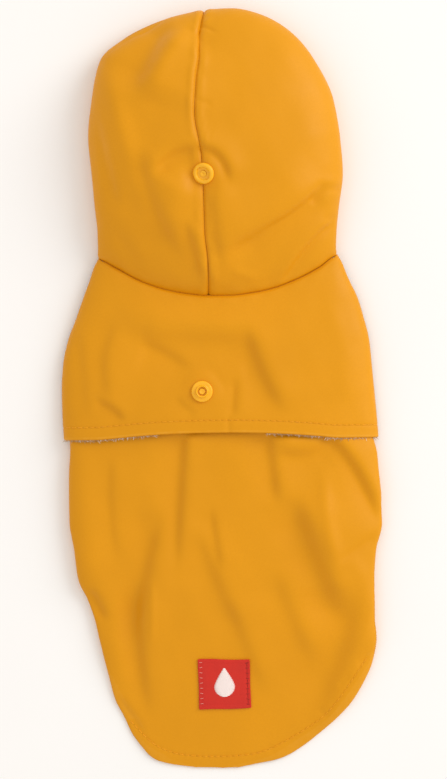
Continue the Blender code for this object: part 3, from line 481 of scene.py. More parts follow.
def back_surface(rows_y, top_cells, side_cells):
    grid = np.zeros((len(rows_y), top_cells + 2 * side_cells + 1, 3))
    share = np.zeros(grid.shape[:2])
    for i, y in enumerate(rows_y):
        lw, lt, rt, rw = back_section(y)
        for part, under in ((lw, True), (lt, False), (rt, False), (rw, True)):
            if len(part):
                part[:, 1] = row_y(y, part[:, 0], under)
        line = np.vstack([lw, lt, rt, rw])
        total = line_length(line[:, :3])
        left = max(line_length(np.vstack([lw, lt[:1]])[:, :3]) if len(lw) else 0, 0.09 * total) / total
        right = max(line_length(np.vstack([rt[-1:], rw])[:, :3]) if len(rw) else 0, 0.09 * total) / total
        shares = np.concatenate([
            np.linspace(0, left, side_cells + 1)[:-1],
            np.linspace(left, 1 - right, top_cells + 1),
            np.linspace(1 - right, 1, side_cells + 1)[1:],
        ])
        points = along_line(line, shares)
        grid[i], share[i] = points[:, :3], points[:, 3]
    grid[..., 2] = np.maximum(grid[..., 2], CAD_CLOTH / 2)
    return grid, share


def flap_surface(steps, cells):
    grid = np.zeros((len(steps), cells + 1, 3))
    share = np.zeros(grid.shape[:2])
    for i, v in enumerate(steps):
        g = {name: float(read(FLAP, FLAP_COLUMNS, name, v)) for name in FLAP_COLUMNS}
        left, right = np.array([g["left_x"], g["left_y"]]), np.array([g["right_x"], g["right_y"]])
        middle = (left + right) / 2
        middle_y = middle[1] + g["neck_share"] * float(neck_drop(middle[0], False))
        top_z = float(read(BACK, BACK_COLUMNS, "top_z", middle_y)) + g["above"]
        side_z = 3.6 + (FLAP_SIDE_Z - 3.6) * float(smoothstep(0.0, 0.3, v))
        lt = half_section(middle, left, top_z, side_z, BODY_EXPONENT)[::-1]
        rt = half_section(middle, right, top_z, side_z, BODY_EXPONENT)[1:]
        line = np.vstack([lt, rt])
        line[:, 1] += g["neck_share"] * neck_drop(line[:, 0], False)
        if v == 0:
            line[:, 1] = neck_top(line[:, 0])
        line[:, 1] -= SEAM
        points = along_line(line, np.linspace(0, 1, cells + 1))
        grid[i], share[i] = points[:, :3], points[:, 3]
    return grid, share


# ---------------------------------------------------------------- meshes
def object_from(name, points, faces, slots, materials, sharp=50.0):
    """A mesh object in metres. points are in the pattern's frame, in millimetres."""
    points = np.asarray(points, float).copy()
    points[:, 0] -= ORIGIN[0]
    points[:, 1] -= ORIGIN[1]
    mesh = bpy.data.meshes.new(name)
    mesh.from_pydata((points / 1000).tolist(), [], [list(map(int, f)) for f in faces])
    for material in materials:
        mesh.materials.append(material)
    mesh.polygons.foreach_set("material_index", np.asarray(slots, np.int32))
    mesh.polygons.foreach_set("use_smooth", np.ones(len(mesh.polygons), bool))
    if sharp:
        mesh.set_sharp_from_angle(angle=math.radians(sharp))
    mesh.update()
    made = bpy.data.objects.new(name, mesh)
    bpy.context.collection.objects.link(made)
    return made


def shell(name, outer, inner, materials, round_rims, ring=3):
    """A closed shell from its outer and inner skins, with round rims on the named
    sides: first and last are rows, left and right are columns."""
    rows, cols = outer.shape[:2]
    count = rows * cols
    index = np.arange(count).reshape(rows, cols)
    mid = (outer + inner) / 2
    faces, slots = [], []
    a, b, c, d = index[:-1, :-1], index[:-1, 1:], index[1:, 1:], index[1:, :-1]
    skin = np.stack([a, b, c, d], axis=-1).reshape(-1, 4)
    back = np.stack([a, d, c, b], axis=-1).reshape(-1, 4) + count
    out = {
        "first": mid[0] - mid[1], "last": mid[-1] - mid[-2],
        "left": mid[:, 0] - mid[:, 1], "right": mid[:, -1] - mid[:, -2],
    }
    out = {k: v / np.maximum(np.linalg.norm(v, axis=1, keepdims=True), 1e-9) for k, v in out.items()}
    ring_index, ring_out = [], []
    for j in range(cols):
        ring_index.append((0, j)); ring_out.append(out["first"][j] * ("first" in round_rims))
    for i in range(1, rows):
        ring_index.append((i, cols - 1)); ring_out.append(out["right"][i] * ("right" in round_rims))
    for j in range(cols - 2, -1, -1):
        ring_index.append((rows - 1, j)); ring_out.append(out["last"][j] * ("last" in round_rims))
    for i in range(rows - 2, 0, -1):
        ring_index.append((i, 0)); ring_out.append(out["left"][i] * ("left" in round_rims))
    n = len(ring_index)
    ri = np.array([r[0] for r in ring_index]); rj = np.array([r[1] for r in ring_index])
    ro = np.array(ring_out)
    # outward directions turn gradually round a corner
    open_edge = np.linalg.norm(ro, axis=1) > 0.5
    turned = sum(np.roll(ro, k, axis=0) for k in range(-5, 6))
    turned /= np.maximum(np.linalg.norm(turned, axis=1, keepdims=True), 1e-9)
    ro = np.where(open_edge[:, None], turned, ro)
    half = (outer[ri, rj] - inner[ri, rj]) / 2
    size = np.linalg.norm(half, axis=1, keepdims=True)
    rings = [index[ri, rj]]
    extra = []
    for k in range(1, ring + 1):
        angle = math.pi * k / (ring + 1)
        p = mid[ri, rj] + half * math.cos(angle) + ro * size * math.sin(angle)
        rings.append(2 * count + len(extra) * n + np.arange(n))
        extra.append(p)
    rings.append(index[ri, rj] + count)
    rim = []
    for low, high in zip(rings, rings[1:]):
        rim.append(np.stack([low, high, np.roll(high, -1), np.roll(low, -1)], axis=-1))
    rim = np.concatenate(rim)
    points = np.concatenate([outer.reshape(-1, 3), inner.reshape(-1, 3)] + extra)
    points[:, 2] = np.maximum(points[:, 2], 0.0)
    # the skin's winding must face outwards
    p = outer
    test = np.cross(p[1, 1] - p[0, 1], p[0, 2] - p[0, 1])
    away = (outer - inner)[0, 1]
    if np.dot(np.cross(p[0, 2] - p[0, 1], p[1, 1] - p[0, 1]), away) < 0:
        skin, back, rim = skin[:, ::-1], back[:, ::-1], rim
    else:
        rim = rim[:, ::-1]
    faces = np.concatenate([skin, back, rim])
    slots = np.concatenate([np.zeros(len(skin)), np.ones(len(back)), np.zeros(len(rim))]).astype(int)
    made = object_from(name, points, faces, slots, materials)
    return made


def tree_of(grid):
    """A search tree over a grid's skin, in millimetres."""
    rows, cols = grid.shape[:2]
    index = np.arange(rows * cols).reshape(rows, cols)
    a, b, c, d = index[:-1, :-1], index[:-1, 1:], index[1:, 1:], index[1:, :-1]
    tris = np.concatenate([np.stack([a, b, c], -1).reshape(-1, 3), np.stack([a, c, d], -1).reshape(-1, 3)])
    return BVHTree.FromPolygons([tuple(p) for p in grid.reshape(-1, 3)], tris.tolist())


def drop(tree, x, y, low=False):
    """Point and normal of a skin over a plan point, seen from above (or from below)."""
    start, way = (Vector((x, y, -50.0)), Vector((0, 0, 1))) if low else (Vector((x, y, 200.0)), Vector((0, 0, -1)))
    hit = tree.ray_cast(start, way)
    if hit[0] is None:
        near = tree.find_nearest(Vector((x, y, 5.0)))
        hit = near
    p, n = Vector(hit[0]), Vector(hit[1])
    if (n.z < 0) != low:
        n = -n
    return p, n


def line_points(points, pitch, start=0.0, stop=None):
    """Evenly spaced plan points along a polyline, with their directions."""
    points = np.asarray(points, float)
    gaps = np.linalg.norm(np.diff(points, axis=0), axis=1)
    run = np.concatenate([[0.0], np.cumsum(gaps)])
    at = np.arange(start, (stop if stop is not None else run[-1]), pitch)
    xy = np.stack([np.interp(at, run, points[:, k]) for k in range(2)], axis=1)
    ahead = np.stack([np.interp(np.minimum(at + 0.5, run[-1]), run, points[:, k]) for k in range(2)], axis=1)
    behind = np.stack([np.interp(np.maximum(at - 0.5, 0), run, points[:, k]) for k in range(2)], axis=1)
    way = ahead - behind
    return xy, way / np.maximum(np.linalg.norm(way, axis=1, keepdims=True), 1e-9)


def smooth_curve(points, per=12):
    """A soft curve through a short list of plan points."""
    points = np.asarray(points, float)
    run = np.concatenate([[0.0], np.cumsum(np.linalg.norm(np.diff(points, axis=0), axis=1))])
    at = np.linspace(0, run[-1], per * (len(points) - 1) + 1)
    padded = np.vstack([2 * points[0] - points[1], points, 2 * points[-1] - points[-2]])
    out = []
    for t in at:
        i = min(max(int(np.searchsorted(run, t, side="right")) - 1, 0), len(points) - 2)
        u = (t - run[i]) / (run[i + 1] - run[i])
        p0, p1, p2, p3 = padded[i : i + 4]
        out.append(0.5 * (2 * p1 + (p2 - p0) * u + (2 * p0 - 5 * p1 + 4 * p2 - p3) * u**2 + (3 * p1 - p0 - 3 * p2 + p3) * u**3))
    return np.array(out)


class Pile:
    """Gathers small pieces into one mesh."""

    def __init__(self):
        self.points, self.faces, self.slots = [], [], []

    def add(self, points, faces, slot=0):
        base = len(self.points)
        self.points.extend(points)
        self.faces.extend([tuple(base + i for i in f) for f in faces])
        self.slots.extend([slot] * len(faces))

    def tube(self, path, radii, sides=6, slot=0, flat=1.0, up=None):
        """A closed tube along a path of vectors, one radius for each point."""
        rings = []
        points, faces = [], []
        for k, p in enumerate(path):
            way = (path[min(k + 1, len(path) - 1)] - path[max(k - 1, 0)]).normalized()
            ref = up if up is not None else Vector((0, 0, 1))
            if abs(way.dot(ref)) > 0.98:
                ref = Vector((1, 0, 0))
            side = way.cross(ref).normalized()
            top = side.cross(way).normalized()
            ring = []
            for s in range(sides):
                t = 2 * math.pi * s / sides
                ring.append(len(points))
                points.append(p + side * math.cos(t) * radii[k] + top * math.sin(t) * radii[k] * flat)
            rings.append(ring)
        for low, high in zip(rings, rings[1:]):
            for s in range(sides):
                n = (s + 1) % sides
                faces.append((low[s], low[n], high[n], high[s]))
        faces.append(tuple(rings[0][::-1]))
        faces.append(tuple(rings[-1]))
        # outward faces
        a, b, c = (points[i] for i in faces[0][:3])
        if (b - a).cross(c - a).dot(a - path[0]) < 0:
            faces = [f[::-1] for f in faces]
        self.add(points, faces, slot)

    def object(self, name, materials, sharp=None):
        return object_from(name, np.array([p[:] for p in self.points]), self.faces, self.slots, materials, sharp)


def stitch(pile, tree, xy, way, long, radius, slot=0, hole_shade_slot=None, lift=0.05, low=False):
    """One stitch on a skin: a thread that comes up, lies and goes down again."""
    path = []
    for t, height in ((-0.5, -0.9), (-0.42, 0.1), (-0.2, 0.8), (0.2, 0.8), (0.42, 0.1), (0.5, -0.9)):
        p, n = drop(tree, xy[0] + way[0] * long * t, xy[1] + way[1] * long * t, low)
        q = p + n * (radius * height + lift)
        if low:
            q.z = max(q.z, radius + 0.02)
        path.append(q)
    pile.tube(path, [radius * 0.7, radius * 0.95, radius, radius, radius * 0.95, radius * 0.7], 6, slot)
    # each needle hole is a small dark disc sunk into the cloth: painted shade of the hole
    if hole_shade_slot is not None:
        for t in (-0.56, 0.56):
            p, n = drop(tree, xy[0] + way[0] * long * t, xy[1] + way[1] * long * t, low)
            side = Vector((way[0], way[1], 0)).cross(n).normalized()
            ahead = n.cross(side).normalized()
            ring = [p + n * 0.02 + (ahead * math.cos(k * math.pi / 4) * 0.19 + side * math.sin(k * math.pi / 4) * 0.15) for k in range(8)]
            base = [q - n * 0.3 for q in ring]
            pts = ring + base
            fs = [tuple(range(8)), tuple(range(15, 7, -1))] + [(k, 8 + k, 8 + (k + 1) % 8, (k + 1) % 8) for k in range(8)]
            a, b, c = pts[0], pts[1], pts[2]
            if (b - a).cross(c - a).dot(n) < 0:
                fs = [f[::-1] for f in fs]
            pile.add(pts, fs, hole_shade_slot)


# ---------------------------------------------------------------- materials
def srgb(r, g, b):
    """Linear colour of an 8-bit display colour."""
    return tuple((c / 255 / 12.92) if c / 255 <= 0.04045 else ((c / 255 + 0.055) / 1.055) ** 2.4 for c in (r, g, b))


class Nodes:
    """A node material on the Principled shader, in object coordinates, in metres."""

    def __init__(self, name):
        self.material = bpy.data.materials.new(name)
        self.material.use_nodes = True
        self.tree = self.material.node_tree
        self.shader = next(n for n in self.tree.nodes if n.type == "BSDF_PRINCIPLED")
        self.place = self.new("ShaderNodeTexCoord").outputs["Object"]
        self.heights = []

    def new(self, kind, **sockets):
        node = self.tree.nodes.new(kind)
        for key, value in sockets.items():
            node.inputs[key.replace("_", " ")].default_value = value
        return node

    def link(self, a, b):
        self.tree.links.new(a, b)

    def stretched(self, scale, turn=0.0):
        node = self.new("ShaderNodeMapping")
        node.inputs["Scale"].default_value = scale
        node.inputs["Rotation"].default_value = (0, 0, math.radians(turn))
        self.link(self.place, node.inputs["Vector"])
        return node.outputs["Vector"]

    def noise(self, size_mm, detail=2.0, rough=0.5, place=None):
        node = self.new("ShaderNodeTexNoise", Scale=1000.0 / size_mm, Detail=detail, Roughness=rough)
        self.link(place or self.place, node.inputs["Vector"])
        return node.outputs["Fac"]

    def wave(self, pitch_mm, direction="X", distortion=0.0, place=None):
        node = self.new("ShaderNodeTexWave", Scale=1000.0 / pitch_mm * 0.314159, Distortion=distortion, Detail=1.0)
        node.inputs["Detail Scale"].default_value = 1.0
        node.wave_type, node.bands_direction = "BANDS", direction
        self.link(place or self.place, node.inputs["Vector"])
        return node.outputs["Fac"]

    def cells(self, size_mm, place=None):
        node = self.new("ShaderNodeTexVoronoi", Scale=1000.0 / size_mm)
        self.link(place or self.place, node.inputs["Vector"])
        return node.outputs["Distance"]

    def ranged(self, value, low, high, a=0.0, b=1.0):
        node = self.new("ShaderNodeMapRange")
        for key, v in (("From Min", a), ("From Max", b), ("To Min", low), ("To Max", high)):
            node.inputs[key].default_value = v
        self.link(value, node.inputs["Value"])
        return node.outputs["Result"]

    def math(self, operation, a, b):
        node = self.new("ShaderNodeMath")
        node.operation = operation
        for socket, v in zip(node.inputs, (a, b)):
            if isinstance(v, (int, float)):
                socket.default_value = v
            else:
                self.link(v, socket)
        return node.outputs[0]

    def mix(self, factor, a, b):
        node = self.new("ShaderNodeMix")
        node.data_type = "RGBA"
        self.link(factor, node.inputs["Factor"])
        for socket, v in ((node.inputs[6], a), (node.inputs[7], b)):
            if isinstance(v, tuple):
                socket.default_value = (*v, 1.0)
            else:
                self.link(v, socket)
        return node.outputs[2]

    def bump(self, height, depth_mm, strength=1.0):
        node = self.new("ShaderNodeBump", Strength=strength, Distance=depth_mm / 1000)
        self.link(height, node.inputs["Height"])
        if self.heights:
            self.link(self.heights[-1], node.inputs["Normal"])
        self.heights.append(node.outputs["Normal"])

    def done(self, colour, roughness, specular=0.3, sheen=0.0, coat=0.0):
        s = self.shader.inputs
        self.link(colour, s["Base Color"])
        self.link(roughness, s["Roughness"])
        s["Specular IOR Level"].default_value = specular
        s["Sheen Weight"].default_value = sheen
        s["Sheen Roughness"].default_value = 0.4
        s["Coat Weight"].default_value = coat
        s["Coat Roughness"].default_value = 0.25
        if self.heights:
            self.link(self.heights[-1], s["Normal"])
        return self.material


def shade(colour, factor):
    return tuple(min(c * factor, 1.0) for c in colour)


def coated_knit(name, base, turn=0.0):
    """Polyurethane film on a knit: satin, with the knit just showing through."""
    n = Nodes(name)
    broad = n.noise(48.0, 2.0)
    colour = n.mix(n.ranged(broad, 0, 1, 0.3, 0.7), shade(base, 0.965), shade(base, 1.03))
    fine = n.noise(0.9, 3.0, 0.6)
    colour = n.mix(n.ranged(fine, 0.0, 0.5, 0.35, 0.75), colour, (base[0] * 0.93, base[1] * 0.90, base[2]))
    worn = n.new("ShaderNodeAttribute")
    worn.attribute_name = "wear"
    scuff = n.math("MULTIPLY", worn.outputs["Fac"], n.ranged(n.noise(3.0, 3.0, 0.6), 0.15, 0.55, 0.35, 0.7))
    colour = n.mix(scuff, colour, (min(base[0] * 1.10, 1), base[1] * 1.22, base[2] + 0.03))
    rough = n.math("ADD", n.ranged(n.noise(14.0, 3.0), 0.44, 0.54, 0.3, 0.7), n.ranged(fine, -0.03, 0.04, 0.3, 0.7))
    knit = n.math("MULTIPLY", n.wave(1.05, "X", 0.6, n.stretched((1, 1, 1), turn)), n.wave(0.85, "Y", 0.6, n.stretched((1, 1, 1), turn)))
    n.bump(n.noise(26.0, 3.0, 0.5), 0.35, 0.5)
    n.bump(n.noise(5.0, 3.0, 0.55), 0.05, 0.6)
    n.bump(knit, 0.018, 0.7)
    n.bump(n.noise(0.35, 2.0, 0.6), 0.014, 0.6)
    return n.done(colour, rough, specular=0.22, sheen=0.0)


def knit_backing(name):
    """The unseen face of the cloth: a pale brushed knit, in ribs of small loops."""
    n = Nodes(name)
    rib = n.wave(1.3, "X", 1.2)
    loop = n.wave(0.95, "Y", 1.6)
    weave = n.math("MULTIPLY", rib, loop)
    hair = n.noise(0.6, 4.0, 0.7)
    colour = n.mix(n.ranged(weave, 0, 1, 0.05, 0.6), srgb(186, 180, 170), srgb(222, 217, 208))
    colour = n.mix(n.ranged(hair, 0.0, 0.4, 0.4, 0.7), colour, srgb(236, 232, 225))
    n.bump(weave, 0.22, 0.8)
    n.bump(hair, 0.10, 0.8)
    return n.done(colour, n.ranged(hair, 0.82, 0.98, 0.3, 0.7), specular=0.15, sheen=0.35)


def woven_ribbon(name, base):
    """A woven label: close weft ribs with the warp crossing them."""
    n = Nodes(name)
    weft = n.wave(0.46, "Y", 0.25)
    warp = n.wave(0.34, "X", 0.25)
    weave = n.math("MULTIPLY", weft, warp)
    patch = n.noise(7.0, 2.0)
    colour = n.mix(n.ranged(weave, 0, 1, 0.0, 0.75), shade(base, 0.80), shade(base, 1.10))
    colour = n.mix(n.ranged(patch, 0.0, 0.22, 0.35, 0.7), colour, shade(base, 1.16))
    n.bump(weave, 0.06, 0.85)
    n.bump(n.noise(0.5, 3.0, 0.6), 0.03, 0.6)
    return n.done(colour, n.ranged(patch, 0.60, 0.74, 0.3, 0.7), specular=0.22, sheen=0.10)


def sewing_thread(name, base, sheen=0.1, rough=0.55):
    """Twisted thread: the two plies show as slanted ridges."""
    n = Nodes(name)
    ply = n.wave(0.42, "DIAGONAL", 0.3)
    fibre = n.noise(0.2, 3.0, 0.6)
    colour = n.mix(n.ranged(ply, 0, 1, 0.1, 0.8), shade(base, 0.86), shade(base, 1.06))
    n.bump(ply, 0.05, 0.7)
    n.bump(fibre, 0.02, 0.6)
    return n.done(colour, n.ranged(fibre, rough - 0.06, rough + 0.08, 0.3, 0.7), specular=0.25, sheen=sheen)


def moulded_plastic(name, base):
    """Injection-moulded snap plastic: semi-gloss, with fine scratches and dust."""
    n = Nodes(name)
    cloud = n.noise(4.0, 2.0)
    scratch = n.noise(0.8, 3.0, 0.6, n.stretched((1.0, 6.0, 1.0), 35))
    colour = n.mix(n.ranged(cloud, 0, 1, 0.3, 0.7), shade(base, 0.95), shade(base, 1.04))
    colour = n.mix(n.ranged(scratch, 0.0, 0.25, 0.55, 0.75), colour, shade(base, 1.12))
    n.bump(scratch, 0.012, 0.6)
    n.bump(n.noise(1.6, 2.0), 0.02, 0.5)
    return n.done(colour, n.ranged(scratch, 0.26, 0.40, 0.3, 0.7), specular=0.42)


def pale_floor(name):
    n = Nodes(name)
    grain = n.noise(1.2, 3.0, 0.6)
    cloud = n.noise(140.0, 2.0)
    colour = n.mix(n.ranged(cloud, 0, 1, 0.3, 0.7), FLOOR_LOW, FLOOR_HIGH)
    n.bump(grain, 0.02, 0.3)
    return n.done(colour, n.ranged(grain, 0.70, 0.82, 0.3, 0.7), specular=0.12)


FLOOR_LOW, FLOOR_HIGH = (0.950, 0.945, 0.935), (0.965, 0.960, 0.950)
YELLOW = (0.742, 0.306, 0.001)
SNAP_YELLOW = (0.96, 0.47, 0.010)
RED = srgb(214, 50, 38)

knit = knit_backing("knit_backing")
cloth = {name: coated_knit("coated_" + name, YELLOW, turn) for name, turn in (
    ("hood_left", 8), ("hood_right", -8), ("cape_flap", 0), ("back_panel", 0), ("belly_panel", 0))}
yellow_thread = sewing_thread("thread_yellow", (0.88, 0.395, 0.006), rough=0.5)
# a darker orange for the needle holes: painted shade of the holes
needle_hole_painted_shade = sewing_thread("needle_hole_painted_shade", (0.58, 0.215, 0.001), sheen=0.0, rough=0.8)
# a darker orange for the seam allowances in the seam grooves: painted shade
seam_painted_shade = sewing_thread("seam_painted_shade", (0.60, 0.215, 0.001), sheen=0.0, rough=0.7)
pale_thread = sewing_thread("thread_pale", srgb(236, 150, 138))
dark_thread = sewing_thread("thread_dark", srgb(150, 36, 30))
white_thread = sewing_thread("thread_white", srgb(252, 236, 232), sheen=0.2, rough=0.45)
fibre = sewing_thread("backing_fibre", srgb(206, 168, 118), sheen=0.3, rough=0.85)
pale_fibre = sewing_thread("backing_fibre_pale", srgb(246, 236, 222), sheen=0.3, rough=0.85)
plastic = moulded_plastic("snap_plastic", SNAP_YELLOW)


# ---------------------------------------------------------------- cloth, worked out
def wear_on(thing, values):
    layer = thing.data.attributes.new("wear", "FLOAT", "POINT")
    layer.data.foreach_set("value", np.asarray(values, np.float32))


def settle(grid):
    """Brings the lying parts of the thicker CAD wall down to the shown cloth."""
    down = (CAD_CLOTH - CLOTH) / 2 * (1 - smoothstep(CAD_CLOTH / 2, 4.0, grid[..., 2]))
    grid[..., 2] -= down
    return grid


def seam_roll(d):
    """Height of the cloth beside a sewn seam: it rolls down into the stitches."""
    return -0.85 * np.exp(-((d / 0.75) ** 2)) - 0.30 * np.exp(-((d / 1.9) ** 2)) + 0.12 * bump_at(d, 3.6, 1.8)


def soft_normals(grid, passes=2):
    normal = grid_normals(grid)
    for _ in range(passes):
        padded = np.pad(normal, ((1, 1), (1, 1), (0, 0)), mode="edge")
        normal = (padded[:-2, 1:-1] + padded[2:, 1:-1] + padded[1:-1, :-2] + padded[1:-1, 2:] + 2 * normal) / 6
    return normal / np.maximum(np.linalg.norm(normal, axis=2, keepdims=True), 1e-9)


def squared(normal, d, axis, reach=1.1):
    """Normals that stand square to a seam close to it, so that its two sides keep clear."""
    w = np.exp(-((d / reach) ** 2))[..., None]
    normal = normal * (1 - w) + square_to(normal, axis) * w
    return normal / np.maximum(np.linalg.norm(normal, axis=2, keepdims=True), 1e-9)


def skins(grid, normal, extra_out=0.0, extra_in=0.0):
    """Outer and inner skins; lying cloth keeps its outer side on the floor."""
    extra_out = np.broadcast_to(np.asarray(extra_out, float), grid.shape[:2])
    extra_in = np.broadcast_to(np.asarray(extra_in, float), grid.shape[:2])
    outer = grid + normal * (CLOTH / 2 + extra_out)[..., None]
    inner = grid - normal * (CLOTH / 2 + extra_in)[..., None]
    outer[..., 2] = np.maximum(outer[..., 2], 0.0)
    inner[..., 2] = np.maximum(inner[..., 2], 0.05)
    return outer, inner


def hem_profile(d, s, pitch=STITCH_PITCH, at=HEM_STITCH_IN):
    """A turned hem hardly stands out: a faint step, a furrow and small puckers."""
    raised = 0.03 * (1 - smoothstep(at - 0.9, at + 0.2, d))
    furrow = -0.09 * bump_at(d, at, 0.7)
    pucker = 0.055 * np.sin(2 * math.pi * s / pitch) * bump_at(d, at, 1.3)
    pull = 0.05 * bump_at(d, at + 2.4, 1.6)
    return raised + furrow + pucker + pull


def hood_half(name, table, side_sign, seed):
    steps = np.concatenate([
        np.linspace(0, 0.05, 15), np.linspace(0.05, 0.74, 88)[1:], np.linspace(0.74, 0.975, 40)[1:],
        np.linspace(0.975, 1.0, 18)[1:],
    ])
    u = np.linspace(0, 1, 91)
    grid, share = hood_panel(table, side_sign, steps, u * (0.5 + 0.5 * u), 14, 26)
    settle(grid)
    normal = soft_normals(grid)
    across, along = run_lengths(grid, 1), run_lengths(grid, 0)
    to_face = across[:, -1:] - across
    seam_path = np.concatenate([grid[:, 0], grid[-1, 1:]])
    d_seam = path_distance(grid, seam_path)
    d_neck = path_distance(grid, grid[0])
    x, y, z = grid[..., 0].copy(), grid[..., 1].copy(), grid[..., 2].copy()
    lying = smoothstep(6.0, 2.0, z) * (share <= 0)
    top = np.where(share > 0, smoothstep(0.0, 0.30, share), 0.0)
    calm = 1 - np.exp(-((np.hypot(x - HOOD_SNAP[0], y - HOOD_SNAP[1]) / 8.0) ** 4))
    lift = crease_height(HOOD_CREASES, x, y) * np.maximum(top, 0.30 * (share > 0)) * smoothstep(0.0, 5.0, d_neck)
    lift += 0.75 * wander(x, y, 0.0) * smoothstep(0.0, 7.0, d_neck) * np.maximum(top, 0.25)
    lift += 1.9 * np.exp(-d_seam / 13.0) * top * smoothstep(200.0, 178.0, y) * smoothstep(2.0, 22.0, d_neck)
    lift *= calm
    if side_sign < 0:
        lip = smoothstep(132.0, 146.0, y) * smoothstep(204.0, 192.0, y)
        lift += 0.34 * bump_at(d_seam, 2.3, 1.4) * lip * top
    wave = 0.10 * np.sin(along / 2.3 + seed) + 0.07 * np.sin(along / 1.37 + 2 * seed)
    lift += (0.12 + wave) * bump_at(d_seam, 2.8, 1.6) * top * calm
    lift += 0.10 * np.sin(x / 1.7 + seed) * bump_at(d_neck, 2.6, 1.8) * np.clip(share * 3, 0, 1)
    lift = lift * (1 - lying)
    grid = grid + normal * lift[..., None]
    flat_patch(grid, HOOD_SNAP, hood_snap_z, 9.0)
    # the two sides of each seam roll down together
    under_snap = 1 - np.exp(-((np.hypot(x - HOOD_SNAP[0], y - HOOD_SNAP[1]) / 6.6) ** 6))
    n_roll = squared(squared(normal, d_seam, 0, 3.0), d_neck, 1, 3.0)
    roll = seam_roll(d_seam) * (0.35 + 0.65 * under_snap) + 0.72 * seam_roll(d_neck)
    grid = grid + n_roll * (roll * (1 - lying))[..., None]
    ripple = 0.6 * np.maximum(np.sin((x * 0.8 + y * 0.45 + 5 * np.sin(y / 17)) / 6.5 + seed), 0) ** 2
    ripple *= smoothstep(2.0, 9.0, to_face) * smoothstep(0.0, 10.0, across - across[:, [104]]) * smoothstep(1.0, 6.0, d_neck)
    grid[..., 2] += ripple * lying
    normal = soft_normals(grid, 1)
    normal = squared(squared(normal, d_seam, 0), d_neck, 1)
    hem = 1 - smoothstep(HEM_STITCH_IN - 0.6, HEM_STITCH_IN + 0.4, to_face)
    outer, inner = skins(grid, normal, 0.0, 0.45 * hem)
    furrow = 0.36 * bump_at(to_face, HEM_STITCH_IN, 0.6)
    outer[..., 2] += np.where(grid[..., 2] < 2.0, furrow, 0.0)
    made = shell(name, outer, inner, [cloth[name], knit], {"right"})
    return made, outer, inner, grid


stud_z = stud_low.z * 1000 - 0.95
socket_low, socket_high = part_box("hood_snap_socket")
lean = math.radians(HOOD_SNAP[2])
hood_snap_z = socket_low.z * 1000 - 0.95 * math.cos(lean) + SNAP_R * math.sin(lean)

pieces = {}
surface = {}
for name, table, side_sign, seed in (("hood_left", HOOD_LEFT, -1, 0.0), ("hood_right", HOOD_RIGHT, 1, 2.4)):
    pieces[name], outer, inner, grid = hood_half(name, table, side_sign, seed)
    surface[name] = {"outer": outer, "inner": inner, "grid": grid, "tree": tree_of(outer)}
    wear_on(pieces[name], np.zeros(len(pieces[name].data.vertices)))

# The back: coarse under the flap, fine where it shows, finest along the tail.
back_rows = np.concatenate([np.linspace(68.5, -8.0, 34), np.linspace(-8.0, -192.0, 160)[1:], np.linspace(-192.0, -201.1, 20)[1:]])
back, back_share = back_surface(back_rows, 122, 34)
settle(back)
normal = grid_normals(back)
x, y = back[..., 0], back[..., 1]
along, across = run_lengths(back, 0), run_lengths(back, 1)
to_tail = along[-1:] - along
to_side = np.minimum(across, across[:, -1:] - across)
tall = np.clip((back[..., 2] - 0.9) / 4.0, 0, 1)
open_back = 1 - smoothstep(-34.0, -20.0, y)
lift = crease_height(BODY_CREASES, x, y) * smoothstep(0.0, 0.25, back_share) * (0.35 + 0.65 * tall) * smoothstep(-22.0, -28.0, y)
lift += 0.9 * wander(x, y, 1.1) * open_back * smoothstep(0.0, 0.5, back_share) * (0.2 + 0.8 * tall)
TAIL_LINE = [
    (76.2, -143.6), (69.3, -154.0), (63.5, -162.7), (54.3, -173.6), (40.5, -183.3), (24.5, -192.0),
    (11.8, -194.8), (-5.4, -195.6), (-19.2, -194.8), (-28.4, -192.8), (-37.6, -187.9), (-47.9, -177.6),
]
tail_curve = smooth_curve(TAIL_LINE, 10)


def distance_to_line(x, y, line):
    """Distance, run along the line and side for plan points; a rise to the left is +."""
    near = np.full(x.shape, 1e9)
    run, side = np.zeros_like(x), np.zeros_like(x)
    start = 0.0
    for (ax, ay), (bx, by) in zip(line[:-1], line[1:]):
        long = math.hypot(bx - ax, by - ay)
        dx, dy = (bx - ax) / long, (by - ay) / long
        t = np.clip((x - ax) * dx + (y - ay) * dy, 0, long)
        away = np.hypot(x - ax - t * dx, y - ay - t * dy)
        closer = away < near
        near = np.where(closer, away, near)
        run = np.where(closer, start + t, run)
        side = np.where(closer, np.sign(dx * (y - ay) - dy * (x - ax)), side)
        start += long
    return near, run, side


near_line, line_run, line_side = distance_to_line(x, y, tail_curve)
outside = (line_side > 0) & (y < -140.0)
hem_d = np.where(outside, HEM_STITCH_IN - near_line, HEM_STITCH_IN + near_line)
upper = (normal[..., 2] > 0).astype(float)
tail_hem = hem_profile(np.maximum(hem_d, 0.0), line_run) * smoothstep(-136.0, -143.0, y) * upper
lift += tail_hem * 1.15
under = back[..., 2] < 2.2
lift = np.where(under & (normal[..., 2] < 0), 0.0, lift)
tip = smoothstep(-197.0, -199.8, back[..., 1])[..., None]
back = back + (normal * (1 - tip) + np.array([0.0, 0.0, 1.0]) * tip) * lift[..., None]
wave = 0.7 * np.sin(line_run / 9.0) + 0.5 * np.sin(line_run / 5.3 + 1.0)
back[..., 2] += np.where(outside, np.maximum(0.25 * wave, 0) * upper, 0.0)
d_neck = path_distance(back, back[0])
normal = squared(grid_normals(back), d_neck, 1)
back = back + normal * (np.minimum(seam_roll(d_neck), 0) * (back[..., 2] > 2.5))[..., None]
side_run = run_lengths(back, 1)
to_side = np.minimum(side_run, side_run[:, -1:] - side_run)
tip = smoothstep(-197.0, -199.8, back[..., 1])[..., None]
skin_normal = squared(grid_normals(back), d_neck, 1) * (1 - tip) + np.array([0.0, 0.0, 1.0]) * tip
outer, inner = skins(back, skin_normal)
surface["back_panel"] = {"outer": outer, "inner": inner, "grid": back, "tree": tree_of(outer)}
pieces["back_panel"] = shell("back_panel", outer, inner, [cloth["back_panel"], knit], {"last", "left", "right"})
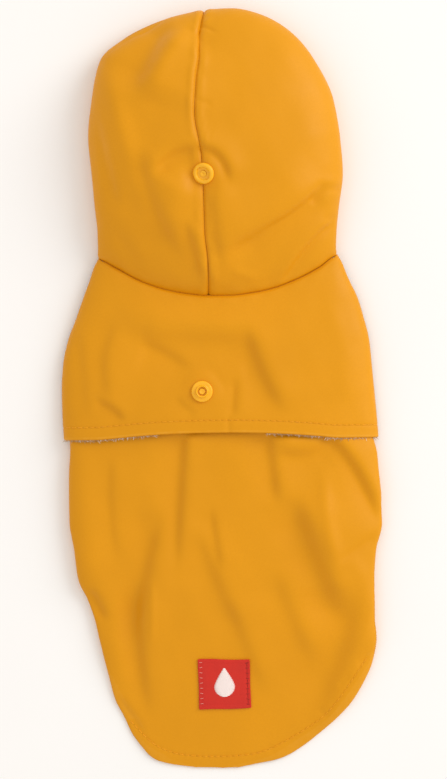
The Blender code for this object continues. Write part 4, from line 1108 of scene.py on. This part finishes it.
hem_wear, _, _ = distance_to_line(outer[..., 0], outer[..., 1], tail_curve)
wear = np.where((outer[..., 1] < -140) & (hem_wear > 2.5) & (to_side < 8), 0.5, 0.0)
wear_on(pieces["back_panel"], np.concatenate([wear.reshape(-1), np.zeros(len(pieces["back_panel"].data.vertices) - wear.size)]))

# The cape flap.
flap_steps = np.concatenate([np.linspace(0, 0.06, 14), np.linspace(0.06, 0.90, 78)[1:], np.linspace(0.90, 1.0, 28)[1:]])
flap, flap_share = flap_surface(flap_steps, 176)
normal = grid_normals(flap)
x, y = flap[..., 0], flap[..., 1]
along, across = run_lengths(flap, 0), run_lengths(flap, 1)
to_hem = along[-1:] - along
near_snap = smoothstep(6.0, 12.0, np.hypot(x - FLAP_SNAP[0], y - FLAP_SNAP[1]))
lift = crease_height(FLAP_CREASES, x, y) * smoothstep(0.0, 0.30, flap_share) * (0.35 + 0.65 * near_snap)
lift += 0.75 * wander(x, y, 3.7) * smoothstep(0.0, 0.4, flap_share) * near_snap * smoothstep(0, 8, along)
lift += hem_profile(to_hem, across) * 1.1
lift += 0.10 * np.sin(x / 1.9) * bump_at(along, 2.6, 1.8)
pleat = bump_at(x, 3.5, 1.5) * (1 - smoothstep(5.0, 11.0, to_hem))
lift -= 0.45 * pleat
flap = flap + normal * lift[..., None]
flap[..., 2] += 0.35 * np.sin(across / 16.0 + 0.7) * (1 - smoothstep(0.0, 12.0, to_hem)) * np.clip(flap_share * 2, 0, 1)
flat_patch(flap, FLAP_SNAP, stud_z, 8.5)
d_neck = path_distance(flap, flap[0])
normal = squared(normal, d_neck, 1, 3.0)
corner = np.zeros(d_neck.shape)
for end in (0, -1):
    away = np.linalg.norm(flap - flap[0, end], axis=2)
    corner += np.exp(-((away / 3.2) ** 2))
flap = flap + normal * (0.72 * seam_roll(d_neck) * (1 - np.minimum(corner, 1)))[..., None]
flap[..., 1] += 1.5 * corner
flap[..., 0] -= 1.5 * corner * np.sign(flap[..., 0])
run = run_lengths(flap[::-1], 0)[::-1]
hem = 1 - smoothstep(HEM_STITCH_IN - 0.4, HEM_STITCH_IN + 0.6, run)
side_run = run_lengths(flap, 1)
outer, inner = skins(flap, squared(grid_normals(flap), d_neck, 1), 0.0, 0.45 * hem)
surface["cape_flap"] = {"outer": outer, "inner": inner, "grid": flap, "tree": tree_of(outer)}
pieces["cape_flap"] = shell("cape_flap", outer, inner, [cloth["cape_flap"], knit], {"last", "left", "right"})
wear = np.where(run < 0.9, 0.8, 0.0)
wear_on(pieces["cape_flap"], np.concatenate([wear.reshape(-1), np.zeros(len(pieces["cape_flap"].data.vertices) - wear.size)]))

# The belly panel: flat on the floor, with soft ripples and two leg holes.
belly_rows = np.linspace(68.5, BELLY_END_Y, 170)
under_back, _ = back_surface(belly_rows, 8, 6)
count = 124
belly = np.zeros((len(belly_rows), count + 1, 3))
for i, row in enumerate(belly_rows):
    x = np.linspace(under_back[i, 0, 0] + SEAM, under_back[i, -1, 0] - SEAM, count + 1)
    belly[i, :, 0] = x
    belly[i, :, 1] = row_y(row, x, True)
belly[..., 2] = CLOTH / 2
x, y = belly[..., 0], belly[..., 1]
edge = np.minimum(run_lengths(belly, 1), run_lengths(belly[:, ::-1], 1)[:, ::-1])
edge = np.minimum(edge, run_lengths(belly, 0))
end = run_lengths(belly[::-1], 0)[::-1]
holes = []
for sign in (-1, 1):
    cx = LEG_HOLE_MIDDLE + sign * LEG_HOLE_X
    holes.append(np.hypot((x - cx) / LEG_HOLE_HALF_X, (y - LEG_HOLE_Y) / LEG_HOLE_HALF_Y))
around = np.minimum(*holes)
calm = smoothstep(2.0, 10.0, edge) * smoothstep(4.0, 14.0, end) * smoothstep(1.25, 1.8, around)
ripple = 0.9 * np.maximum(np.sin((x + 0.35 * y + 6 * np.sin(y / 25.0)) / 8.5), 0) ** 3
ripple += 0.7 * np.maximum(np.sin((y - 0.25 * x + 5 * np.sin(x / 19.0)) / 11.0 + 1.0), 0) ** 4
belly[..., 2] += ripple * calm
outer, inner = belly.copy(), belly.copy()
outer[..., 2] -= CLOTH / 2
inner[..., 2] += CLOTH / 2 + 0.4 * (1 - smoothstep(5.2, 6.0, end))
outer[..., 2] = np.maximum(outer[..., 2] + 0.28 * bump_at(end, HEM_STITCH_IN, 0.55), 0)
surface["belly_panel"] = {"outer": outer, "inner": inner, "grid": belly, "tree": tree_of(outer)}


def panel_with_holes(name, outer, inner, materials, holes):
    """A flat shell with oval holes: cells inside are left out, and the hole's edge
    points are moved onto the oval."""
    rows, cols = outer.shape[:2]
    count = rows * cols
    index = np.arange(count).reshape(rows, cols)
    inside = np.zeros((rows, cols), bool)
    for cx, cy, hx, hy in holes:
        inside |= np.hypot((outer[..., 0] - cx) / hx, (outer[..., 1] - cy) / hy) < 1.0
    cell_out = inside[:-1, :-1] | inside[:-1, 1:] | inside[1:, 1:] | inside[1:, :-1]
    quads = np.stack([index[:-1, :-1], index[:-1, 1:], index[1:, 1:], index[1:, :-1]], -1)[~cell_out]
    edges = {}
    for q in quads.tolist():
        for a, b in zip(q, q[1:] + q[:1]):
            if (b, a) in edges:
                del edges[(b, a)]
            else:
                edges[(a, b)] = True
    flat_outer, flat_inner = outer.reshape(-1, 3).copy(), inner.reshape(-1, 3).copy()
    rim_points = {a for a, _ in edges} | {b for _, b in edges}
    for p in rim_points:
        for cx, cy, hx, hy in holes:
            fx, fy = (flat_outer[p, 0] - cx) / hx, (flat_outer[p, 1] - cy) / hy
            r = math.hypot(fx, fy)
            if r < 1.35:
                for skin in (flat_outer, flat_inner):
                    skin[p, 0], skin[p, 1] = cx + fx / r * hx, cy + fy / r * hy
    up = quads.tolist()
    faces = [q[::-1] for q in up]
    a, b, c = (flat_outer[i] for i in faces[0][:3])
    if np.cross(b - a, c - a)[2] > 0:
        faces = [f[::-1] for f in faces]
    lower = faces
    upper = [[i + count for i in f[::-1]] for f in faces]
    border = {}
    for f in lower:
        for a, b in zip(f, f[1:] + f[:1]):
            if (b, a) in border:
                del border[(b, a)]
            else:
                border[(a, b)] = True
    rim = [[b, a, a + count, b + count] for a, b in border]
    used = sorted({i for f in lower + upper for i in f})
    again = {old: new for new, old in enumerate(used)}
    points = np.concatenate([flat_outer, flat_inner])[used]
    faces = [[again[i] for i in f] for f in lower + upper + rim]
    slots = [0] * len(lower) + [1] * len(upper) + [0] * len(rim)
    return object_from(name, points, faces, slots, materials)


leg_holes = [(LEG_HOLE_MIDDLE + s * LEG_HOLE_X, LEG_HOLE_Y, LEG_HOLE_HALF_X, LEG_HOLE_HALF_Y) for s in (-1, 1)]
pieces["belly_panel"] = panel_with_holes("belly_panel", outer, inner, [cloth["belly_panel"], knit], leg_holes)
wear_on(pieces["belly_panel"], np.zeros(len(pieces["belly_panel"].data.vertices)))

# ---------------------------------------------------------------- stitches
def sew(name, line, tree, materials, start=1.0, stop=None, pitch=STITCH_PITCH, long=STITCH_LONG, low=False, wobble=0.0, radius=THREAD_R):
    pile = Pile()
    xy, way = line_points(line, pitch, start, stop)
    for k in range(len(xy)):
        turn = wobble * math.sin(k * 2.3) + 0.5 * wobble * math.sin(k * 5.1)
        c, s = math.cos(turn), math.sin(turn)
        w = (way[k, 0] * c - way[k, 1] * s, way[k, 0] * s + way[k, 1] * c)
        if low and drop(tree, xy[k, 0], xy[k, 1], True)[0].z > 5.0:
            continue
        stitch(pile, tree, xy[k], w, long * (1 + 0.05 * math.sin(k * 1.7)), radius, 0, 1, 0.02, low)
    return pile.object(name, materials)


def grid_line(grid, distance, axis, from_end=True):
    """The plan line at a set distance along a grid from its last row or column."""
    g = grid[::-1] if axis == 0 else grid[:, ::-1].transpose(1, 0, 2)
    run = run_lengths(g, 0)
    out = []
    for j in range(g.shape[1]):
        out.append([np.interp(distance, run[:, j], g[:, j, k]) for k in range(3)])
    return np.array(out)


flap_line = grid_line(surface["cape_flap"]["outer"], HEM_STITCH_IN + 0.35, 0)[:, :2]
flap_stitches = sew("flap_hem_stitches", flap_line, surface["cape_flap"]["tree"], [yellow_thread, needle_hole_painted_shade], start=3.0, wobble=0.05)
tail_stitches = sew("tail_hem_stitches", tail_curve, surface["back_panel"]["tree"], [yellow_thread, needle_hole_painted_shade], start=0.5, wobble=0.05)
face_stitches = []
for name in ("hood_left", "hood_right"):
    line = grid_line(surface[name]["outer"], HEM_STITCH_IN + 0.45, 1)
    line = line[12:-12, :2]
    face_stitches.append(sew("face_hem_stitches_" + name[5:], line, surface[name]["tree"], [yellow_thread, needle_hole_painted_shade], start=1.0, low=True))
belly_line = grid_line(surface["belly_panel"]["outer"], HEM_STITCH_IN, 0)[:, :2]
belly_stitches = sew("belly_hem_stitches", belly_line, surface["belly_panel"]["tree"], [yellow_thread, needle_hole_painted_shade], start=2.0, low=True)
leg_stitches = []
for k, (cx, cy, hx, hy) in enumerate(leg_holes):
    oval = np.array([(cx + (hx + 4.5) * math.cos(t), cy + (hy + 4.5) * math.sin(t)) for t in np.linspace(0, 2 * math.pi, 121)])
    leg_stitches.append(sew(f"leg_hem_stitches_{k}", oval, surface["belly_panel"]["tree"], [yellow_thread, needle_hole_painted_shade], start=0.0, low=True))

# The seam allowances at the foot of each seam show as a narrow soft line, coloured darker than the cloth: painted shade
# of the seam groove.
def seam_shade_fill(pile, line, down, radius):
    line, down = np.asarray(line), np.asarray(down)
    down = down / np.maximum(np.linalg.norm(down, axis=1, keepdims=True), 1e-9)
    path = [Vector(p) + Vector(d) * (radius + 0.16) for p, d in zip(line, down)]
    pile.tube(path, [radius] * len(path), 8)


left, right = surface["hood_left"], surface["hood_right"]
seam_shade_pile = Pile()
middle = (left["outer"][:, 0] + right["outer"][:, 0]) / 2
inward = (left["inner"][:, 0] + right["inner"][:, 0]) / 2 - middle
seam_shade_fill(seam_shade_pile, middle[3:-1], inward[3:-1], 0.36)
ends = left["outer"].shape[1] - 42
middle = (left["outer"][-1, :ends] + right["outer"][-1, :ends]) / 2
inward = (left["inner"][-1, :ends] + right["inner"][-1, :ends]) / 2 - middle
seam_shade_fill(seam_shade_pile, middle[2:], inward[2:], 0.36)
edge_line = surface["cape_flap"]["outer"][0]
inward = surface["cape_flap"]["inner"][0] - edge_line
seam_shade_fill(seam_shade_pile, (edge_line + np.array([0.0, 0.17, 0.0]))[8:-8], inward[8:-8], 0.40)
seam_groove_shade = seam_shade_pile.object("seam_groove_painted_shade", [seam_painted_shade])

# ---------------------------------------------------------------- loose fibres
fuzz = Pile()
rng = np.random.default_rng(51)
hem_edge = (surface["cape_flap"]["inner"][-1] * 0.75 + surface["cape_flap"]["outer"][-1] * 0.25)
for _ in range(1000):
    left = rng.random() < 0.5
    px = rng.uniform(-84.0, -34.0) if left else rng.uniform(23.0, 82.5)
    j = int(np.argmin(np.abs(hem_edge[:, 0] - px)))
    base = Vector(hem_edge[j]) + Vector((rng.uniform(-0.5, 0.5), rng.uniform(-0.35, 0.2), rng.uniform(-0.3, 0.1)))
    base.z = max(base.z, 0.8)
    way = Vector((rng.uniform(-1.1, 1.1), -1.0, rng.uniform(-0.25, 0.15))).normalized()
    long = rng.uniform(0.9, 1.7) if rng.random() < 0.8 else rng.uniform(1.7, 2.8)
    bend = Vector((rng.uniform(-1, 1), rng.uniform(-0.2, 0.7), rng.uniform(-0.5, 0.3))) * 0.5
    path = [base + way * long * t + bend * t * t for t in (0.0, 0.35, 0.7, 1.0)]
    for p in path:
        p.z = max(p.z, 0.3)
    fuzz.tube(path, [0.13, 0.12, 0.10, 0.04], 4, int(rng.random() < 0.22))
backing_fuzz = fuzz.object("backing_fibres", [fibre, pale_fibre])

# ---------------------------------------------------------------- label
LABEL_TOP_LEFT, LABEL_TOP_RIGHT = (-12.6, -143.7), (14.4, -144.0)
LABEL_BOTTOM_LEFT, LABEL_BOTTOM_RIGHT = (-11.8, -170.0), (15.2, -169.2)
cells = 72
label = np.zeros((cells + 1, cells + 1, 3))
tree = surface["back_panel"]["tree"]
for i, v in enumerate(np.linspace(0, 1, cells + 1)):
    for j, u in enumerate(np.linspace(0, 1, cells + 1)):
        tl, tr, bl, br = (np.array(c) for c in (LABEL_TOP_LEFT, LABEL_TOP_RIGHT, LABEL_BOTTOM_LEFT, LABEL_BOTTOM_RIGHT))
        px, py = (tl * (1 - u) + tr * u) * (1 - v) + (bl * (1 - u) + br * u) * v
        px += 0.18 * math.sin(v * 9.0) * (u - 0.5)
        py += 0.15 * math.sin(u * 7.0)
        p, n = drop(tree, px, py)
        label[i, j] = (px, py, p.z)
for _ in range(6):
    padded = np.pad(label[..., 2], 1, mode="edge")
    label[..., 2] = (padded[:-2, 1:-1] + padded[2:, 1:-1] + padded[1:-1, :-2] + padded[1:-1, 2:]) / 4
rows_d = run_lengths(label, 0)
rows_e = np.minimum(rows_d, rows_d[-1:] - rows_d)
cols_d = run_lengths(label, 1)
cols_e = np.minimum(cols_d, cols_d[:, -1:] - cols_d)
puff = 0.22 * smoothstep(0.0, 3.5, cols_e) * smoothstep(0.0, 3.0, rows_e)
fold = 0.22 * (1 - smoothstep(1.2, 1.7, rows_e))
sew_pull = -0.12 * bump_at(cols_e, 1.3, 0.7) * (0.6 + 0.4 * np.cos(2 * math.pi * rows_d / 2.75))
label[..., 2] += 0.62 + puff + sew_pull
normal = grid_normals(label)
outer = label + normal * (0.24 + fold)[..., None]
inner = label - normal * 0.24
surface["label"] = {"outer": outer, "inner": inner, "tree": tree_of(outer)}
ribbon = woven_ribbon("woven_red", RED)
pieces["label"] = shell("label", outer, inner, [ribbon, ribbon], {"first", "last", "left", "right"})
label_tree = surface["label"]["tree"]

ladder = Pile()
for side in (0, 1):
    a = np.array(LABEL_TOP_LEFT if side == 0 else LABEL_TOP_RIGHT, float)
    b = np.array(LABEL_BOTTOM_LEFT if side == 0 else LABEL_BOTTOM_RIGHT, float)
    inward = 1 if side == 0 else -1
    line = np.array([a + (inward * 1.25, -1.2), b + (inward * 1.25, 1.2)])
    xy, way = line_points(line, 2.75, 0.2)
    for k in range(len(xy)):
        across_way = (0.97, 0.24 * math.sin(k * 1.9)) if side == 0 else (0.97, 0.22 * math.cos(k * 1.3))
        stitch(ladder, label_tree, xy[k], across_way, 1.55, 0.17, side, None, 0.02)
    if side == 0:
        continue
    xy, way = line_points(line, 2.75, 1.55)
    for k in range(len(xy)):
        stitch(ladder, label_tree, xy[k], way[k], 1.9, 0.10, side, None, 0.0)
label_stitches = ladder.object("label_stitches", [pale_thread, dark_thread])

# A plain raindrop in satin stitch stands on the label, with no lettering.
DROP_MIDDLE, DROP_TALL, DROP_WIDE = (1.3, -155.4), 16.0, 11.0
drop_pile = Pile()
turn = math.radians(1.5)
pitch = 0.40
for k in range(int(DROP_TALL / pitch)):
    v = (k + 0.5) * pitch / DROP_TALL                      # 0 at the foot, 1 at the tip
    round_part = 0.62
    if v < round_part * 0.55:
        t = v / (round_part * 0.55)
        half = math.sqrt(max(1 - (1 - t) ** 2, 0.0))
    else:
        t = (v - round_part * 0.55) / (1 - round_part * 0.55)
        half = max(math.cos(t * math.pi / 2) ** 1.25 * (1 - 0.10 * math.sin(t * math.pi)), 0.0)
    half *= DROP_WIDE / 2
    if half < 0.35:
        continue
    half += 0.10 * math.sin(k * 2.1)
    cy = DROP_MIDDLE[1] - DROP_TALL / 2 + v * DROP_TALL
    path, radii = [], []
    for t in np.linspace(-1, 1, 11):
        px = DROP_MIDDLE[0] + t * half
        py = cy + 0.25 * (px - DROP_MIDDLE[0]) / DROP_WIDE
        qx = DROP_MIDDLE[0] + (px - DROP_MIDDLE[0]) * math.cos(turn) - (py - DROP_MIDDLE[1]) * math.sin(turn)
        qy = DROP_MIDDLE[1] + (px - DROP_MIDDLE[0]) * math.sin(turn) + (py - DROP_MIDDLE[1]) * math.cos(turn)
        p, n = drop(label_tree, qx, qy)
        path.append(p + n * (0.26 * (1 - abs(t) ** 3) - 0.08))
        radii.append(0.235 * (1 - 0.35 * abs(t) ** 4))
    drop_pile.tube(path, radii, 8, flat=0.8)
label_mark = drop_pile.object("label_raindrop", [white_thread])

# ---------------------------------------------------------------- snaps
def rounded(profile, passes=2, keep_ends=True):
    """Takes the corners off a profile."""
    pts = [np.array(p, float) for p in profile]
    for _ in range(passes):
        out = [pts[0]]
        for a, b in zip(pts, pts[1:]):
            gap = np.linalg.norm(b - a)
            cut = min(0.25, 0.22 / max(gap, 1e-6))
            out += [a * (1 - cut) + b * cut, a * cut + b * (1 - cut)]
        out.append(pts[-1])
        pts = out
    return pts


def lathe(name, profile, centre, axis, shape=None, sides=96):
    """A closed turned piece. shape may move the profile with the angle."""
    axis = Vector(axis).normalized()
    side = Vector((1, 0, 0)) - axis * axis.x
    side.normalize()
    other = axis.cross(side)
    profile = rounded(profile)
    points, faces = [], []
    rings = []
    for r, h in profile:
        ring = []
        if r < 1e-4:
            ring = [len(points)]
            points.append(Vector(centre) + axis * h)
        else:
            for k in range(sides):
                t = 2 * math.pi * k / sides
                rr, hh = shape(r, h, t) if shape else (r, h)
                ring.append(len(points))
                points.append(Vector(centre) + axis * hh + (side * math.cos(t) + other * math.sin(t)) * rr)
        rings.append(ring)
    pairs = list(zip(rings, rings[1:]))
    if len(rings[0]) > 1 and len(rings[-1]) > 1:
        pairs.append((rings[-1], rings[0]))
    for low, high in pairs:
        for k in range(sides):
            n = (k + 1) % sides
            if len(low) == 1:
                faces.append((low[0], high[n], high[k]))
            elif len(high) == 1:
                faces.append((low[k], low[n], high[0]))
            else:
                faces.append((low[k], low[n], high[n], high[k]))
    made = object_from(name, np.array([p[:] for p in points]), faces, [0] * len(faces), [plastic], sharp=40.0)
    work = bmesh.new()
    work.from_mesh(made.data)
    bmesh.ops.recalc_face_normals(work, faces=work.faces)
    work.to_mesh(made.data)
    work.free()
    return made


def snap_axis(snap):
    tilt, towards = math.radians(snap[2]), math.radians(snap[3])
    return Vector((math.sin(tilt) * math.cos(towards), math.sin(tilt) * math.sin(towards), math.cos(tilt)))


hood_at = (HOOD_SNAP[0], HOOD_SNAP[1], hood_snap_z)
flap_at = (FLAP_SNAP[0], FLAP_SNAP[1], stud_z)


def socket_shape(r, h, t):
    """Two spring slots open the recess at opposite sides."""
    slot = max(0.0, 1 - (math.sin(t - math.radians(135)) / 0.30) ** 2) if abs(math.sin(t - math.radians(135))) < 0.30 else 0.0
    if 2.9 < r < 3.75:
        return r + 0.75 * slot, h - (0.55 * slot if h > 2.0 else 0.0)
    return r, h


SOCKET_PROFILE = [
    (1.75, 0.40), (SNAP_R - 0.15, 0.40), (SNAP_R, 0.70), (SNAP_R, 1.65), (SNAP_R - 0.35, 2.15),
    (4.6, 2.50), (3.9, 2.50), (3.45, 2.25), (3.2, 1.75), (3.1, 1.45), (1.75, 1.45),
]
STUD_PROFILE = [
    (1.75, 0.40), (SNAP_R - 0.15, 0.40), (SNAP_R, 0.70), (SNAP_R, 1.5), (SNAP_R - 0.45, 1.92),
    (4.1, 1.95), (3.75, 1.95), (3.35, 2.2), (3.3, 3.35), (2.9, 3.68), (2.45, 3.4), (2.35, 2.05), (1.75, 2.0),
]
CAP_SOCKET_PROFILE = [
    (0.0, -2.2), (2.2, -2.18), (3.8, -2.05), (5.1, -1.75), (5.65, -1.3), (5.5, -0.95), (1.4, -0.95),
    (1.4, 1.6), (1.75, 1.85), (1.55, 2.1), (0.75, 2.1), (0.45, 1.8), (0.0, 1.75),
]
CAP_STUD_PROFILE = [
    (0.0, -2.2), (2.2, -2.18), (3.8, -2.05), (5.1, -1.75), (5.65, -1.3), (5.5, -0.95), (1.4, -0.95),
    (1.4, 2.2), (1.68, 2.45), (1.55, 2.85), (0.95, 2.95), (0.55, 2.7), (0.0, 2.65),
]
pieces["hood_snap_socket"] = lathe("hood_snap_socket", SOCKET_PROFILE, hood_at, snap_axis(HOOD_SNAP), socket_shape)
pieces["hood_snap_cap"] = lathe("hood_snap_cap", CAP_SOCKET_PROFILE, hood_at, snap_axis(HOOD_SNAP))
pieces["flap_snap_stud"] = lathe("flap_snap_stud", STUD_PROFILE, flap_at, snap_axis(FLAP_SNAP))
pieces["flap_snap_cap"] = lathe("flap_snap_cap", CAP_STUD_PROFILE, flap_at, snap_axis(FLAP_SNAP))

# ---------------------------------------------------------------- riding and replacing
for name, piece in pieces.items():
    piece.name = name + "_look"
    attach(piece, "root")
    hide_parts(name)
sewn = [seam_groove_shade, flap_stitches, tail_stitches, belly_stitches, backing_fuzz, *face_stitches, *leg_stitches]
for piece in sewn:
    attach(piece, "root")
for piece in (label_stitches, label_mark):
    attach(piece, "root")

# ---------------------------------------------------------------- floor, light, camera
bpy.ops.mesh.primitive_grid_add(x_subdivisions=8, y_subdivisions=8, size=5.0, location=(0, 0, -0.00025))
floor = bpy.context.object
floor.name = "floor"
floor.data.materials.append(pale_floor("pale_floor"))

world = bpy.data.worlds.new("studio")
bpy.context.scene.world = world
world.use_nodes = True
world.node_tree.nodes["Background"].inputs["Color"].default_value = (1.0, 0.960, 0.918, 1.0)
world.node_tree.nodes["Background"].inputs["Strength"].default_value = 0.86


def soft_light(name, place, size, watts, colour):
    light = bpy.data.lights.new(name, "AREA")
    light.shape, light.size, light.energy, light.color = "DISK", size, watts, colour
    made = bpy.data.objects.new(name, light)
    made.location = place
    made.rotation_euler = (Vector((0, 0, 0)) - Vector(place)).to_track_quat("-Z", "Y").to_euler()
    bpy.context.collection.objects.link(made)


soft_light("window", (2.00, 1.15, 1.35), 1.90, 33.0, (1.0, 0.99, 0.98))

camera_data = bpy.data.cameras.new("camera")
camera = bpy.data.objects.new("camera", camera_data)
bpy.context.collection.objects.link(camera)
camera.location = (0.00138, -0.00043, 1.508)
camera.rotation_euler = (0, 0, 0)
camera_data.sensor_fit = "VERTICAL"
camera_data.sensor_height = 36.0
camera_data.lens = 36.0 * 1.5 / 0.4129
camera_data.clip_end = 20.0
bpy.context.scene.camera = camera
bpy.context.scene.view_settings.view_transform = "Standard"
bpy.context.scene.view_settings.look = "None"
